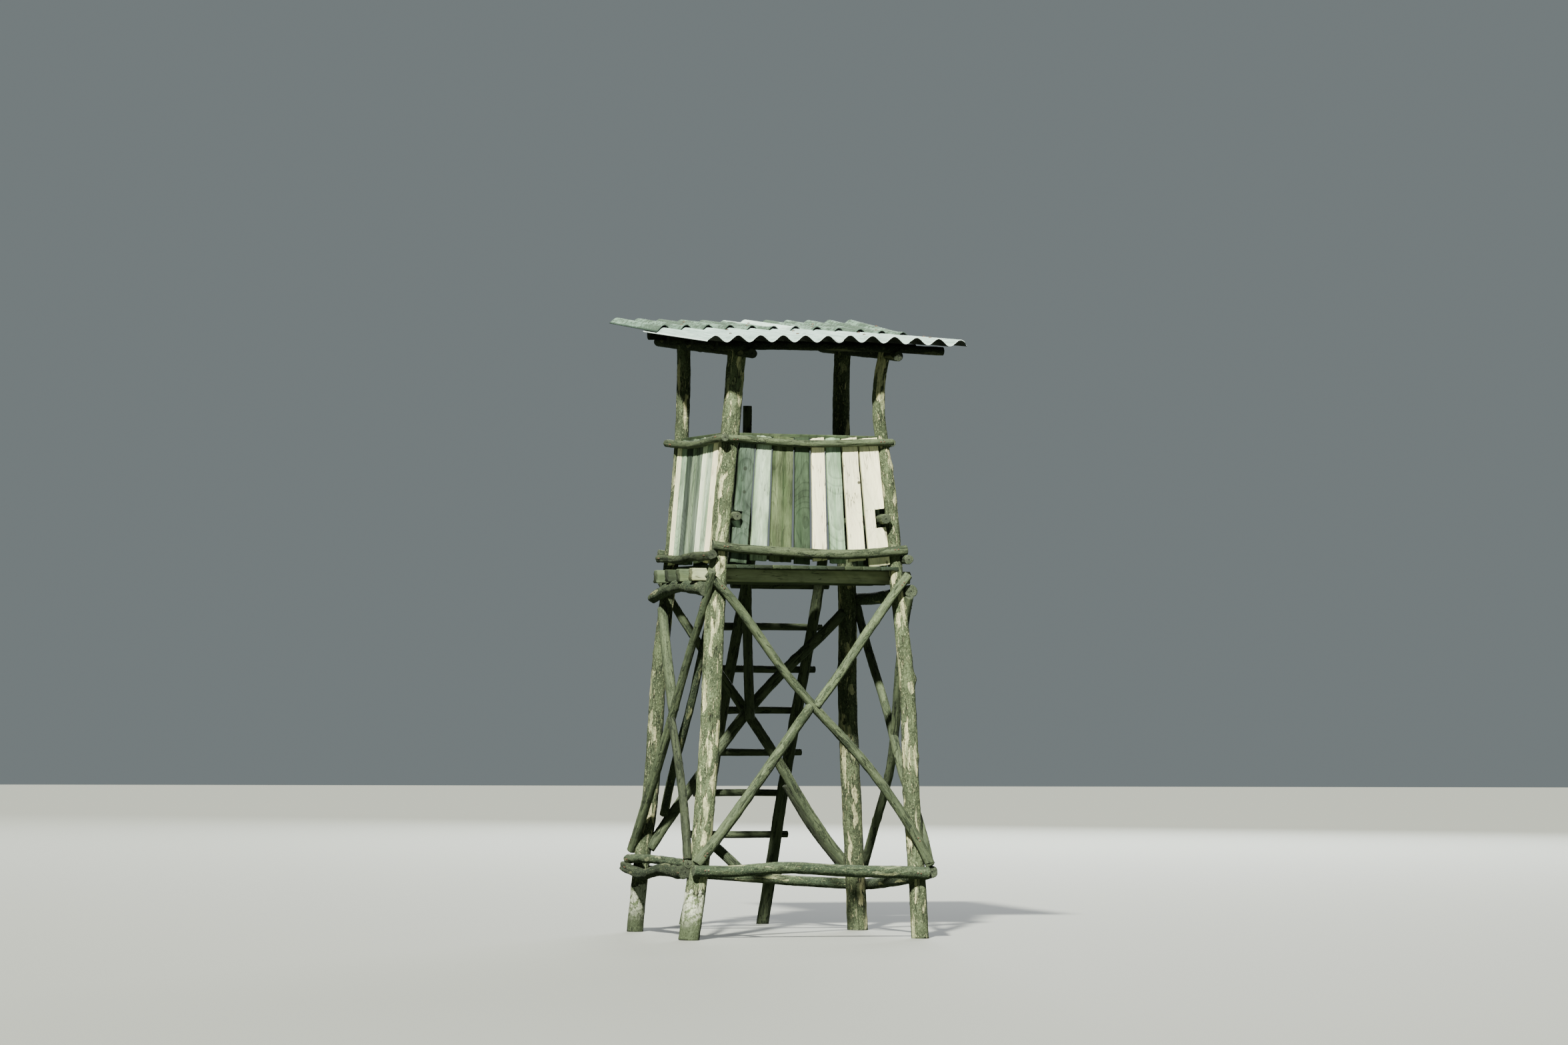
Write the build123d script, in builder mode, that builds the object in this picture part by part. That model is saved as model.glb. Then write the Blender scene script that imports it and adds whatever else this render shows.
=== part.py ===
from build123d import *
import os
from math import atan, cos, pi, radians, sin, tan

os.makedirs("parts", exist_ok=True)

# Hunting tower of round logs and boards, in millimetres.
# The front faces -Y, the ladder stands at the back, and the ground is Z = 0.

# Levels of the frame above the ground
floor_level = 2800
rail_level = 3745
roof_level = 4400

# Spacing of the post axes at the ground, the floor and the roof
ground_width = 1800
floor_width = 1424
roof_width = 1180
ground_depth = 1400
floor_depth = 1130
roof_depth = 1050

# How deep a log is scribed where it bears on another
notch = 18

# Radii of the logs
front_left_radius = (78, 68)
front_right_radius = (67, 45)
back_left_radius = (66, 52)
back_right_radius = (80, 66)
front_sill_radius = 50
side_sill_radius = 46
upper_sill_radius = 35
back_sill_radius = 40
brace_radius = 36
slim_brace_radius = 32
entrance_post_radius = 38
floor_beam_radius = 50
bottom_rail_radius = 35
top_rail_radius = 28
seat_log_radius = 37
rafter_radius = 38
purlin_radius = 33
last_purlin_radius = 42
knee_radius = 38
ladder_rail_radius = 45
rung_radius = 29

# Heights of the low ring at the four corners
sill_front_left = 520
sill_front_right = 494
sill_back_left = 470
sill_back_right = 358

# Floor and walls
joist_width = 90
joist_height = 98
floor_board_thickness = 27
floor_board_width = 150
wall_board_thickness = 22
rail_bite = 4
plank_thickness = 26
plank_width = 120
side_plank_width = 105
board_taper = 0.9
board_play = 2
seat_level = 3162
seat_front_reach = 95
seat_back_reach = 30

# Ladder
ladder_top_level = 2930
ladder_lean = 0.39
ladder_width_top = 585
ladder_width_foot = 650
ladder_middle_top = 285
ladder_middle_foot = 165
rung_count = 8
rung_first = 376
rung_spacing = 327
rung_overhang = 105
rung_notch = 24

# Roof of corrugated sheets in two rows
sheet_pitch = 177
sheet_wave = 51
sheet_waves = 6
sheet_thickness = 6.5
sheet_edge = 0.37
side_lap = 0.4
sheet_clearance = 0.3
front_sheet_length = 1600
back_sheet_length = 1240
row_overlap = 345
roof_front_level = 4460
front_row_slope = 5.8
back_row_slope = 6.2
roof_overhang_front = 418
roof_shift_right = 112
purlin_places = (190, 800, 1400)
last_purlin_place = 1900
purlin_reach = 900
rafter_overhang_front = 300
rafter_overhang_back = 530


def at(low, high, share):
    return low + (high - low) * share


def spread(ground, floor, roof, height):
    # spacing of the post axes at a height, straight from ground to floor and from floor to roof
    if height < floor_level:
        return at(ground, floor, height / floor_level)
    return at(floor, roof, (height - floor_level) / (roof_level - floor_level))


def half_width(height):
    return spread(ground_width, floor_width, roof_width, height) / 2


def half_depth(height):
    return spread(ground_depth, floor_depth, roof_depth, height) / 2


front = Vector(0, -1, 0)
back = Vector(0, 1, 0)
left = Vector(-1, 0, 0)
right = Vector(1, 0, 0)
up = Vector(0, 0, 1)

# The posts: which corner, radius at foot and head, and how far the axis strays to the right at some heights
front_left_post = {"side": (-1, -1), "radius": front_left_radius,
                   "bows": [(0, -50), (450, -13), (1150, 18), (2100, 11), (3050, 10), (3850, 26), (4400, 34)]}
front_right_post = {"side": (1, -1), "radius": front_right_radius,
                    "bows": [(0, -16), (550, -11), (1250, 2), (1950, 24), (2800, -1), (3450, -12),
                             (3950, -46), (4270, -6), (4400, 45)]}
back_left_post = {"side": (-1, 1), "radius": back_left_radius,
                  "bows": [(0, -36), (500, -28), (1100, -3), (1830, -20), (2750, -3),
                           (3880, -10), (4450, -48)]}
back_right_post = {"side": (1, 1), "radius": back_right_radius,
                   "bows": [(0, -15), (1200, -24), (1850, -23), (2470, 4), (3860, 28), (4450, 76)]}


def between(stations, height):
    # value at a height, straight between the listed stations
    if height <= stations[0][0]:
        return stations[0][1]
    for (low, value), (high, following) in zip(stations, stations[1:]):
        if height <= high:
            return at(value, following, (height - low) / (high - low))
    return stations[-1][1]


def post_axis(post, height):
    side_x, side_y = post["side"]
    stray = between(post["bows"], height)
    return Vector(side_x * half_width(height) + stray, side_y * half_depth(height), height)


def post_radius(post, height):
    foot, head = post["radius"]
    return at(foot, head, height / roof_level)


def beside(post, height, out, radius):
    # axis point of a log that passes a post on its outer side and bites into it by the notch
    return post_axis(post, height) + out * (post_radius(post, height) + radius - notch)


def crooked(start, end, bows, out):
    # path from start to end with bows given as (share of the length, sideways, outward)
    along = (end - start).normalized()
    sideways = out.cross(along)
    path = [start + (end - start) * share + sideways * side + out * outward
            for share, side, outward in bows]
    return [start] + path + [end]


def past(start, end, before, after):
    # the same line, lengthened at both ends
    along = (end - start).normalized()
    return start - along * before, end + along * after


def round_log(path, start_radius, end_radius):
    # loft through circles that stand square to a smooth spine through the path
    spine = Spline(*path) if len(path) > 2 else Line(*path)
    overall = path[-1] - path[0]
    across = up if abs(overall.Z) < overall.length * 0.6 else right
    count = 2 * len(path) if len(path) > 2 else 1
    sections = []
    for index in range(count + 1):
        share = index / count
        along = spine % share
        with BuildSketch(Plane(origin=spine @ share, x_dir=across.cross(along), z_dir=along)) as section:
            Circle(at(start_radius, end_radius, share))
        sections.append(section.sketch)
    loft(sections)


def scribe(*others):
    # hollow the log out where it bears on others
    for other in others:
        add(other.part, mode=Mode.SUBTRACT)


pieces = {}

# The bent purlins give the roof its form: a row of sheets runs straight from its lower to its upper edge,
# and each edge line has its own tilt to the right, in degrees, and a crown in the middle of the roof
eaves_line = {"tilt": 0.45, "crown": 20}
front_top_line = {"tilt": -0.34, "crown": 25}
ridge_line = {"tilt": 1.09, "crown": -12}
roof_front = -half_depth(roof_level) - roof_overhang_front
roof_half_width = (sheet_waves - 0.5 + sheet_edge) * sheet_pitch


def line_level(line, middle_level, x):
    # level of an edge line, taken on the underside of the troughs
    aside = x - roof_shift_right
    return middle_level + aside * tan(radians(line["tilt"])) - line["crown"] * (aside / roof_half_width) ** 2


# Each sheet lies on the one below it, so the back row stands two sheets above the front row
sheet_step = sheet_thickness + sheet_clearance
front_rise = sin(radians(front_row_slope))
front_run = cos(radians(front_row_slope))
front_top_y = roof_front + front_sheet_length * front_run
front_top_level = roof_front_level + front_sheet_length * front_rise
lap_y = front_top_y - row_overlap * front_run
ridge_y = lap_y + back_sheet_length * cos(radians(back_row_slope))
lap_level = front_top_level - row_overlap * front_rise + 2 * sheet_step
ridge_level = lap_level + back_sheet_length * sin(radians(back_row_slope))


def front_row_level(x, y):
    low = line_level(eaves_line, roof_front_level, x)
    high = line_level(front_top_line, front_top_level, x)
    return at(low, high, (y - roof_front) / (front_top_y - roof_front))


def back_row_level(x, y):
    low = front_row_level(x, lap_y) + 2 * sheet_step
    high = line_level(ridge_line, ridge_level, x)
    return at(low, high, (y - lap_y) / (ridge_y - lap_y))


purlin_depth = purlin_radius + sheet_clearance
rafter_depth = purlin_depth + purlin_radius + rafter_radius - notch


def post_head(post):
    # axis of the rafter above a post
    head = post_axis(post, roof_level)
    return Vector(head.X, head.Y, front_row_level(head.X, head.Y) - rafter_depth / front_run)


def rafter_path(post_front, post_back, bow):
    start, end = past(post_head(post_front), post_head(post_back),
                      rafter_overhang_front, rafter_overhang_back)
    return crooked(start, end, [(0.35, bow, 0), (0.7, bow / 2, 0)], up)


with BuildPart() as rafters:
    round_log(rafter_path(front_left_post, back_left_post, 8), rafter_radius, rafter_radius)
    round_log(rafter_path(front_right_post, back_right_post, -8), rafter_radius, rafter_radius)
pieces["rafters"] = rafters


def purlin(place, row_level, radius):
    # a purlin that follows the underside of its row from side to side
    y = roof_front + place * front_run
    depth = (radius + sheet_clearance) / front_run
    sides = [roof_shift_right + purlin_reach * share for share in (-1, -0.6, -0.2, 0.2, 0.6, 1)]
    round_log([Vector(x, y, row_level(x, y) - depth) for x in sides], radius, radius)


# The last purlin carries only the back row
with BuildPart() as purlins:
    for place in purlin_places:
        purlin(place, front_row_level, purlin_radius)
    purlin(last_purlin_place, back_row_level, last_purlin_radius)
    scribe(rafters)
pieces["purlins"] = purlins


def post(place):
    # a post stands on the ground and reaches the middle of the rafter above it
    head = post_head(place)
    path = [post_axis(place, height) for height, stray in place["bows"] if height < head.Z - 100]
    low = path[0] - (path[1] - path[0]).normalized() * 40
    round_log([low] + path + [head], *place["radius"])
    split(bisect_by=Plane.XY, keep=Keep.TOP)


with BuildPart() as post_front_left:
    post(front_left_post)
    scribe(rafters)
pieces["post_front_left"] = post_front_left

with BuildPart() as post_front_right:
    post(front_right_post)
    scribe(rafters)
pieces["post_front_right"] = post_front_right

with BuildPart() as post_back_left:
    post(back_left_post)
    scribe(rafters)
pieces["post_back_left"] = post_back_left

with BuildPart() as post_back_right:
    post(back_right_post)
    scribe(rafters)
pieces["post_back_right"] = post_back_right

# The low ring of sill logs around the feet
with BuildPart() as front_sill_log:
    start, end = past(beside(front_left_post, sill_front_left, front, front_sill_radius),
                      beside(front_right_post, sill_front_right, front, front_sill_radius), 70, 60)
    round_log(crooked(start, end, [(0.2, 0, 0), (0.38, 28, 6), (0.6, 12, -4), (0.85, 6, 0)], front), 43, 48)
    scribe(post_front_left, post_front_right)
pieces["front_sill_log"] = front_sill_log

with BuildPart() as left_sill_log:
    start, end = past(beside(back_left_post, sill_back_left + 22, left, side_sill_radius),
                      beside(front_left_post, sill_front_left - 18, left, side_sill_radius), 150, 20)
    round_log(crooked(start, end, [(0.15, -18, 8), (0.35, -42, 4), (0.62, 8, -8), (0.84, -4, 0)], left),
              36, 52)
    scribe(post_back_left, post_front_left, front_sill_log)
pieces["left_sill_log"] = left_sill_log

with BuildPart() as left_upper_sill_log:
    lift = side_sill_radius + upper_sill_radius - notch
    start, end = past(beside(back_left_post, sill_back_left + 22 + lift, left, upper_sill_radius),
                      beside(front_left_post, sill_front_left - 18 + lift, left, upper_sill_radius), 118, 30)
    round_log(crooked(start, end, [(0.38, 14, 0), (0.7, 10, 0)], left), 36, 32)
    scribe(post_back_left, post_front_left, left_sill_log)
pieces["left_upper_sill_log"] = left_upper_sill_log

with BuildPart() as right_sill_log:
    start, end = past(beside(back_right_post, sill_back_right, right, side_sill_radius),
                      beside(front_right_post, sill_front_right, right, side_sill_radius), 60, 95)
    round_log(crooked(start, end, [(0.5, 14, 0)], right), 42, 48)
    scribe(post_back_right, post_front_right, front_sill_log)
pieces["right_sill_log"] = right_sill_log

with BuildPart() as back_sill_log:
    start, end = past(beside(back_left_post, sill_back_left, back, back_sill_radius),
                      beside(back_right_post, sill_back_right, back, back_sill_radius), 40, 30)
    round_log(crooked(start, end, [(0.46, 0, 0), (0.73, 6, 8)], back), 36, 42)
    scribe(post_back_left, post_back_right, left_sill_log, right_sill_log)
pieces["back_sill_log"] = back_sill_log

# Front cross of one through brace and two pieces that butt against it
with BuildPart() as front_through_brace:
    start, end = past(beside(front_left_post, 2605, front, brace_radius),
                      beside(front_right_post, 670, front, brace_radius), 155, 140)
    round_log(crooked(start, end, [(0.2, 24, 0), (0.33, 10, 0), (0.47, 28, 0), (0.57, 55, 0),
                                   (0.69, 80, 0), (0.81, 72, 0), (0.92, 44, 0)], front), 33, 38)
    scribe(post_front_left, post_front_right, front_sill_log)
pieces["front_through_brace"] = front_through_brace

with BuildPart() as front_lower_brace:
    low = beside(front_left_post, 632, front, brace_radius)
    crossing = beside(front_left_post, 1712, front, brace_radius)
    start, end = past(low, Vector(-5, crossing.Y, 1745), 85, 0)
    round_log(crooked(start, end, [(0.3, -12, 0), (0.6, -9, 0)], front), 42, 37)
    scribe(post_front_left, front_sill_log, front_through_brace)
pieces["front_lower_brace"] = front_lower_brace

with BuildPart() as front_upper_brace:
    high = beside(front_right_post, 2655, front, brace_radius)
    crossing = beside(front_left_post, 1762, front, brace_radius)
    start, end = past(Vector(30, crossing.Y, 1742), high, 0, 105)
    round_log(crooked(start, end, [(0.25, -6, 0), (0.6, 5, 0)], front), 38, 36)
    scribe(post_front_right, front_through_brace)
pieces["front_upper_brace"] = front_upper_brace

# Left cross
with BuildPart() as left_through_brace:
    start, end = past(beside(front_left_post, 2560, left, brace_radius),
                      beside(back_left_post, 700, left, brace_radius), 215, 90)
    round_log(crooked(start, end, [(0.1, 36, 0), (0.25, 24, 0), (0.5, 30, 0), (0.75, 26, 0)], left), 30, 38)
    scribe(post_front_left, post_back_left, left_sill_log, left_upper_sill_log, front_through_brace)
pieces["left_through_brace"] = left_through_brace

with BuildPart() as left_upper_brace:
    head = post_axis(back_left_post, 2480) + left * 46 + front * 50
    cross_low = at(beside(front_left_post, 2560, left, brace_radius),
                   beside(back_left_post, 700, left, brace_radius), 0.46)
    round_log(crooked(head, cross_low + left * -12, [(0.35, -24, 0), (0.7, -16, 0)], left), 38, 40)
    scribe(post_back_left, left_through_brace)
pieces["left_upper_brace"] = left_upper_brace

with BuildPart() as left_lower_brace:
    foot = beside(front_left_post, 600, left, slim_brace_radius)
    cross_high = at(beside(front_left_post, 2560, left, brace_radius),
                    beside(back_left_post, 700, left, brace_radius), 0.5) + front * 60
    round_log(crooked(cross_high, foot, [(0.3, 40, 0), (0.65, 50, 0)], left), 31, 35)
    scribe(post_front_left, left_sill_log, left_upper_sill_log, left_through_brace)
pieces["left_lower_brace"] = left_lower_brace

# Right cross
with BuildPart() as right_through_brace:
    start, end = past(beside(back_right_post, 2490, right, brace_radius),
                      beside(front_right_post, 700, right, brace_radius), 60, 170)
    round_log(crooked(start, end, [(0.22, 12, 0), (0.45, 0, 0), (0.66, 26, 0), (0.85, -16, 0)], right),
              33, 36)
    scribe(post_back_right, post_front_right, right_sill_log, front_through_brace)
pieces["right_through_brace"] = right_through_brace

with BuildPart() as right_cross_brace:
    start, end = past(beside(front_right_post, 2500, right, slim_brace_radius),
                      beside(back_right_post, 560, right, slim_brace_radius), 90, 60)
    round_log(crooked(start, end, [(0.3, -70, 0), (0.62, -120, 30), (0.8, -70, 16)], right), 33, 34)
    scribe(post_back_right, post_front_right, right_sill_log, right_through_brace)
pieces["right_cross_brace"] = right_cross_brace

# Back cross, with the rising brace held between the posts and the falling one outside them
with BuildPart() as back_rising_brace:
    start = post_axis(back_left_post, 640) + right * 40 + front * 30
    end = post_axis(back_right_post, 2470) + left * 50 + front * 30
    round_log(crooked(start, end, [(0.17, -40, 0), (0.41, -76, 0), (0.65, -84, 0), (0.85, -30, 0)], back),
              42, 40)
    scribe(post_back_left, post_back_right)
pieces["back_rising_brace"] = back_rising_brace

with BuildPart() as back_falling_brace:
    start, end = past(beside(back_left_post, 2640, back, brace_radius),
                      beside(back_right_post, 470, back, brace_radius), 60, 20)
    round_log(crooked(start, end, [(0.2, 22, 0), (0.42, 10, -14), (0.58, 8, -10), (0.78, 34, 0)], back),
              30, 48)
    scribe(post_back_left, post_back_right, back_sill_log, back_rising_brace)
pieces["back_falling_brace"] = back_falling_brace

# A thinner branch lies along the lower side of the falling brace
with BuildPart() as back_falling_branch:
    falling = (beside(back_left_post, 2640, back, brace_radius),
               beside(back_right_post, 470, back, brace_radius))
    downhill = back.cross((falling[1] - falling[0]).normalized())
    path = [at(*falling, share) + downhill * side for share, side in ((0.68, 72), (0.84, 80), (0.97, 52))]
    round_log(path, 24, 28)
    scribe(back_falling_brace, post_back_right, back_sill_log)
pieces["back_falling_branch"] = back_falling_branch

# Knee brace in the corner behind the front left post
with BuildPart() as corner_knee_brace:
    start = post_axis(front_left_post, 733) + right * 80 + back * 66
    end = beside(front_left_post, 512, front, front_sill_radius) + right * 326 + back * 78
    round_log(crooked(start, end, [(0.5, 5, 0)], front), knee_radius - 2, knee_radius)
    scribe(post_front_left, front_sill_log)
pieces["corner_knee_brace"] = corner_knee_brace

with BuildPart() as left_inner_brace:
    start = post_axis(front_left_post, 2480) + right * 10 + back * 80
    end = Vector(-half_width(900) + 100, half_depth(900) - 60, 900)
    round_log(crooked(start, end, [(0.2, 20, 15), (0.42, 60, 20), (0.62, 40, 20), (0.8, 0, 10)], left),
              28, 32)
    scribe(post_front_left, back_rising_brace)
pieces["left_inner_brace"] = left_inner_brace

# Side floor beams outside the posts, carrying the joists
beam_level = floor_level - 175
with BuildPart() as left_floor_beam:
    start, end = past(beside(back_left_post, beam_level - 58, left, floor_beam_radius),
                      beside(front_left_post, beam_level - 18, left, floor_beam_radius), 70, 60)
    round_log(crooked(start, end, [(0.22, 40, 0), (0.46, 58, 0), (0.74, 36, 0)], left), 42, 52)
    scribe(post_back_left, post_front_left, left_through_brace, back_falling_brace)
pieces["left_floor_beam"] = left_floor_beam

with BuildPart() as right_floor_beam:
    start, end = past(beside(back_right_post, beam_level - 28, right, floor_beam_radius),
                      beside(front_right_post, beam_level - 8, right, floor_beam_radius), 230, 60)
    round_log(crooked(start, end, [(0.3, 26, 0), (0.6, 20, 0)], right), 46, 50)
    scribe(post_back_right, post_front_right, right_through_brace, right_cross_brace)
pieces["right_floor_beam"] = right_floor_beam

joist_top = floor_level - floor_board_thickness
joist_front = -half_depth(floor_level) + post_radius(front_left_post, floor_level) + joist_width / 2
joist_back = half_depth(floor_level) - post_radius(back_right_post, floor_level) - joist_width / 2
joist_reach = half_width(floor_level) + post_radius(front_left_post, floor_level) + 2 * floor_beam_radius

with BuildPart() as front_floor_beam:
    with BuildSketch(Plane.YZ.offset(-joist_reach)):
        with Locations((joist_front, joist_top - joist_height / 2)):
            RectangleRounded(joist_width, joist_height, 8)
    extrude(amount=2 * joist_reach - 20)
    scribe(left_floor_beam, right_floor_beam, post_front_left, post_front_right)
pieces["front_floor_beam"] = front_floor_beam

with BuildPart() as floor_joists:
    for share in (1 / 3, 2 / 3, 1):
        with BuildSketch(Plane.YZ.offset(-joist_reach - 10 + 20 * share)):
            with Locations((at(joist_front, joist_back, share), joist_top - joist_height / 2)):
                RectangleRounded(joist_width, joist_height, 14)
        extrude(amount=2 * joist_reach)
    scribe(left_floor_beam, right_floor_beam, post_back_left, post_back_right)
pieces["floor_joists"] = floor_joists

# Rails outside the posts, which hold the wall boards
bottom_rail_level = floor_level + 130
back_rail_level = bottom_rail_level - 25
with BuildPart() as front_bottom_rail:
    start, end = past(beside(front_left_post, bottom_rail_level + 10, front, bottom_rail_radius),
                      beside(front_right_post, bottom_rail_level, front, bottom_rail_radius), 78, 72)
    round_log(crooked(start, end, [(0.2, -28, 0), (0.45, -40, 0), (0.65, -46, 0), (0.85, -26, 0)], front),
              34, 37)
    scribe(post_front_left, post_front_right)
pieces["front_bottom_rail"] = front_bottom_rail

with BuildPart() as left_bottom_rail:
    start, end = past(beside(back_left_post, bottom_rail_level - 66, left, bottom_rail_radius),
                      beside(front_left_post, bottom_rail_level - 60, left, bottom_rail_radius), 80, 105)
    round_log(crooked(start, end, [(0.2, -6, 0), (0.45, -15, 0), (0.6, 0, 0), (0.8, -6, 0)], left), 30, 36)
    scribe(post_back_left, post_front_left, front_bottom_rail, left_through_brace)
pieces["left_bottom_rail"] = left_bottom_rail

with BuildPart() as right_bottom_rail:
    start, end = past(beside(back_right_post, bottom_rail_level - 60, right, bottom_rail_radius),
                      beside(front_right_post, bottom_rail_level - 75, right, bottom_rail_radius), 80, 130)
    round_log(crooked(start, end, [(0.3, 10, 0), (0.7, -8, 0)], right), 35, 34)
    scribe(post_back_right, post_front_right, front_bottom_rail)
pieces["right_bottom_rail"] = right_bottom_rail

with BuildPart() as back_bottom_rail:
    start, end = past(beside(back_left_post, back_rail_level, back, bottom_rail_radius),
                      beside(back_right_post, back_rail_level, back, bottom_rail_radius), 80, 80)
    round_log(crooked(start, end, [(0.35, 12, 0), (0.7, -6, 0)], back), 33, 35)
    scribe(post_back_left, post_back_right, left_bottom_rail, right_bottom_rail)
pieces["back_bottom_rail"] = back_bottom_rail

with BuildPart() as front_top_rail:
    start, end = past(beside(front_left_post, rail_level, front, top_rail_radius),
                      beside(front_right_post, rail_level, front, top_rail_radius), 75, 60)
    round_log(crooked(start, end, [(0.2, -10, 0), (0.4, -26, 0), (0.6, -24, 0), (0.8, -10, 0)], front),
              29, 28)
    scribe(post_front_left, post_front_right)
pieces["front_top_rail"] = front_top_rail

with BuildPart() as left_top_rail:
    start, end = past(beside(back_left_post, rail_level + 14, left, top_rail_radius),
                      beside(front_left_post, rail_level + 2, left, top_rail_radius), 138, 140)
    round_log(crooked(start, end, [(0.27, -24, 0), (0.54, -30, 0), (0.75, -12, 0)], left), 30, 29)
    scribe(post_back_left, post_front_left, front_top_rail)
pieces["left_top_rail"] = left_top_rail

with BuildPart() as right_top_rail:
    start, end = past(beside(back_right_post, rail_level + 10, right, top_rail_radius),
                      beside(front_right_post, rail_level - 4, right, top_rail_radius), 120, 70)
    round_log(crooked(start, end, [(0.35, 10, 0), (0.7, 14, 0)], right), 30, 28)
    scribe(post_back_right, post_front_right, front_top_rail)
pieces["right_top_rail"] = right_top_rail

with BuildPart() as back_top_rail:
    start, end = past(beside(back_left_post, rail_level + 6, back, top_rail_radius),
                      beside(back_right_post, rail_level + 6, back, top_rail_radius), 42, 46)
    round_log(crooked(start, end, [(0.3, -10, 0), (0.7, -6, 0)], back), 30, 28)
    scribe(post_back_left, post_back_right, left_top_rail, right_top_rail)
pieces["back_top_rail"] = back_top_rail

# Upright member beside the way in, from the back cross to above the parapet
entrance_x = -85
entrance_top = rail_level + 310
entrance_post_edge = entrance_post_radius - entrance_x + 6
with BuildPart() as entrance_post:
    inner = brace_radius + entrance_post_radius - notch
    low = Vector(entrance_x + 12, half_depth(1640) - 30 - inner, 1640)
    high = Vector(entrance_x - 40, half_depth(entrance_top) - entrance_post_radius, entrance_top)
    round_log(crooked(low, high, [(0.27, -10, 10), (0.5, -18, 0), (0.8, -8, 0)], back), 40, 34)
    scribe(back_rising_brace, back_falling_brace, back_bottom_rail, back_top_rail, floor_joists)
pieces["entrance_post"] = entrance_post

# Floor boards lie front to back on the joists
board_front = -half_depth(floor_level) - post_radius(front_left_post, floor_level) + notch / 2
board_back = half_depth(floor_level) - 10
inner_half = half_width(floor_level) + 8
board_count = round(2 * inner_half / floor_board_width)
board_step = 2 * inner_half / board_count
with BuildPart() as floor_boards:
    for index in range(board_count):
        with BuildSketch(Plane.XY.offset(joist_top)):
            middle = -inner_half + (index + 0.5) * board_step
            with Locations((middle, (board_front + board_back) / 2)):
                Rectangle(board_step - 6, board_back - board_front)
        extrude(amount=floor_board_thickness)
    scribe(post_front_left, post_front_right, post_back_left, post_back_right, entrance_post)
pieces["floor_boards"] = floor_boards


board_high = rail_level + top_rail_radius - 8


def post_reach(post, height, out):
    # how far out the face of a post stands
    return post_axis(post, height).dot(out) + post_radius(post, height)


def wall(out, post_a, post_b, widths, drops, edge=None):
    # a row of upright boards inside the rails between two posts, narrowing upwards as the wall does;
    # each board ends a little above the floor, and edge is where the first one starts if not at post_a
    along = up.cross(out)
    levels = (floor_level, board_high)
    shrink = (1, board_taper)
    starts, gaps = [], []
    for level, factor in zip(levels, shrink):
        begin = edge
        if edge is None:
            begin = post_axis(post_a, level).dot(along) + post_radius(post_a, level) + board_play
        finish = post_axis(post_b, level).dot(along) - post_radius(post_b, level) - board_play
        starts.append(begin)
        gaps.append((finish - begin - sum(widths) * factor) / (len(widths) - 1))
    for width, drop in zip(widths, drops):
        corners = []
        for index, (level, factor) in enumerate(zip(levels, shrink)):
            post_from, post_to = post_axis(post_a, level).dot(along), post_axis(post_b, level).dot(along)
            share = (starts[index] + width * factor / 2 - post_from) / (post_to - post_from)
            reach = at(post_reach(post_a, level, out), post_reach(post_b, level, out), share) - notch
            middle = out * (reach - wall_board_thickness / 2 + rail_bite) + up * level
            pair = [middle + along * starts[index], middle + along * (starts[index] + width * factor)]
            corners.append(pair)
            starts[index] += width * factor + gaps[index]
        lift = drop / (board_high - floor_level)
        low_pair = [at(low, high, lift) for low, high in zip(*corners)]
        outline = Wire.make_polygon(low_pair + corners[1][::-1], close=True)
        extrude(Face(outline), amount=wall_board_thickness / 2, both=True)


# Seat logs run front to back along the side posts, and their ends come out through the front boards
def seat_path(post_front, post_back, inward, radius):
    start, end = [post_axis(post, seat_level) + inward * (post_radius(post, seat_level) + radius - notch)
                  for post in (post_front, post_back)]
    start, end = past(start, end, seat_front_reach, seat_back_reach)
    return crooked(start, end, [(0.35, 8, 0), (0.7, -6, 0)], up)


with BuildPart() as seat_logs:
    round_log(seat_path(front_left_post, back_left_post, right, seat_log_radius - 4),
              seat_log_radius - 3, seat_log_radius)
    round_log(seat_path(front_right_post, back_right_post, left, seat_log_radius + 6),
              seat_log_radius + 2, seat_log_radius)
    scribe(post_front_left, post_back_left, post_front_right, post_back_right)
pieces["seat_logs"] = seat_logs

with BuildPart() as front_wall_boards:
    wall(front, front_left_post, front_right_post, (133, 132, 176, 128, 117, 127, 138, 170),
         (20, 36, 28, 12, 40, 24, 46, 18))
    scribe(seat_logs, front_bottom_rail, front_top_rail, post_front_left, post_front_right)
pieces["front_wall_boards"] = front_wall_boards

with BuildPart() as left_wall_boards:
    wall(left, back_left_post, front_left_post, (118, 124, 132, 110, 126, 120, 116, 128),
         (14, 30, 22, 10, 34, 18, 26, 12))
    scribe(left_bottom_rail, left_top_rail)
pieces["left_wall_boards"] = left_wall_boards

with BuildPart() as right_wall_boards:
    wall(right, front_right_post, back_right_post, (130, 118, 126, 134, 112, 122, 128, 116),
         (16, 28, 12, 32, 20, 38, 14, 24))
    scribe(right_bottom_rail, right_top_rail)
pieces["right_wall_boards"] = right_wall_boards

with BuildPart() as back_wall_boards:
    wall(back, back_right_post, back_left_post, (122, 130, 114, 124), (18, 30, 12, 26), entrance_post_edge)
    scribe(back_bottom_rail, back_top_rail, entrance_post, seat_logs)
pieces["back_wall_boards"] = back_wall_boards


# Planks lie flat on the wall boards, inside the top rails
def plank(out, post_a, post_b, width):
    along = up.cross(out)
    outer = min(post_reach(post_a, board_high, out), post_reach(post_b, board_high, out)) - notch
    begin = post_axis(post_a, board_high).dot(along)
    finish = post_axis(post_b, board_high).dot(along)
    corners = [along * begin + out * outer, along * finish + out * outer,
               along * finish + out * (outer - width), along * begin + out * (outer - width)]
    outline = Wire.make_polygon([corner + up * board_high for corner in corners], close=True)
    extrude(Face(outline), amount=plank_thickness, dir=(0, 0, 1))


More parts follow.
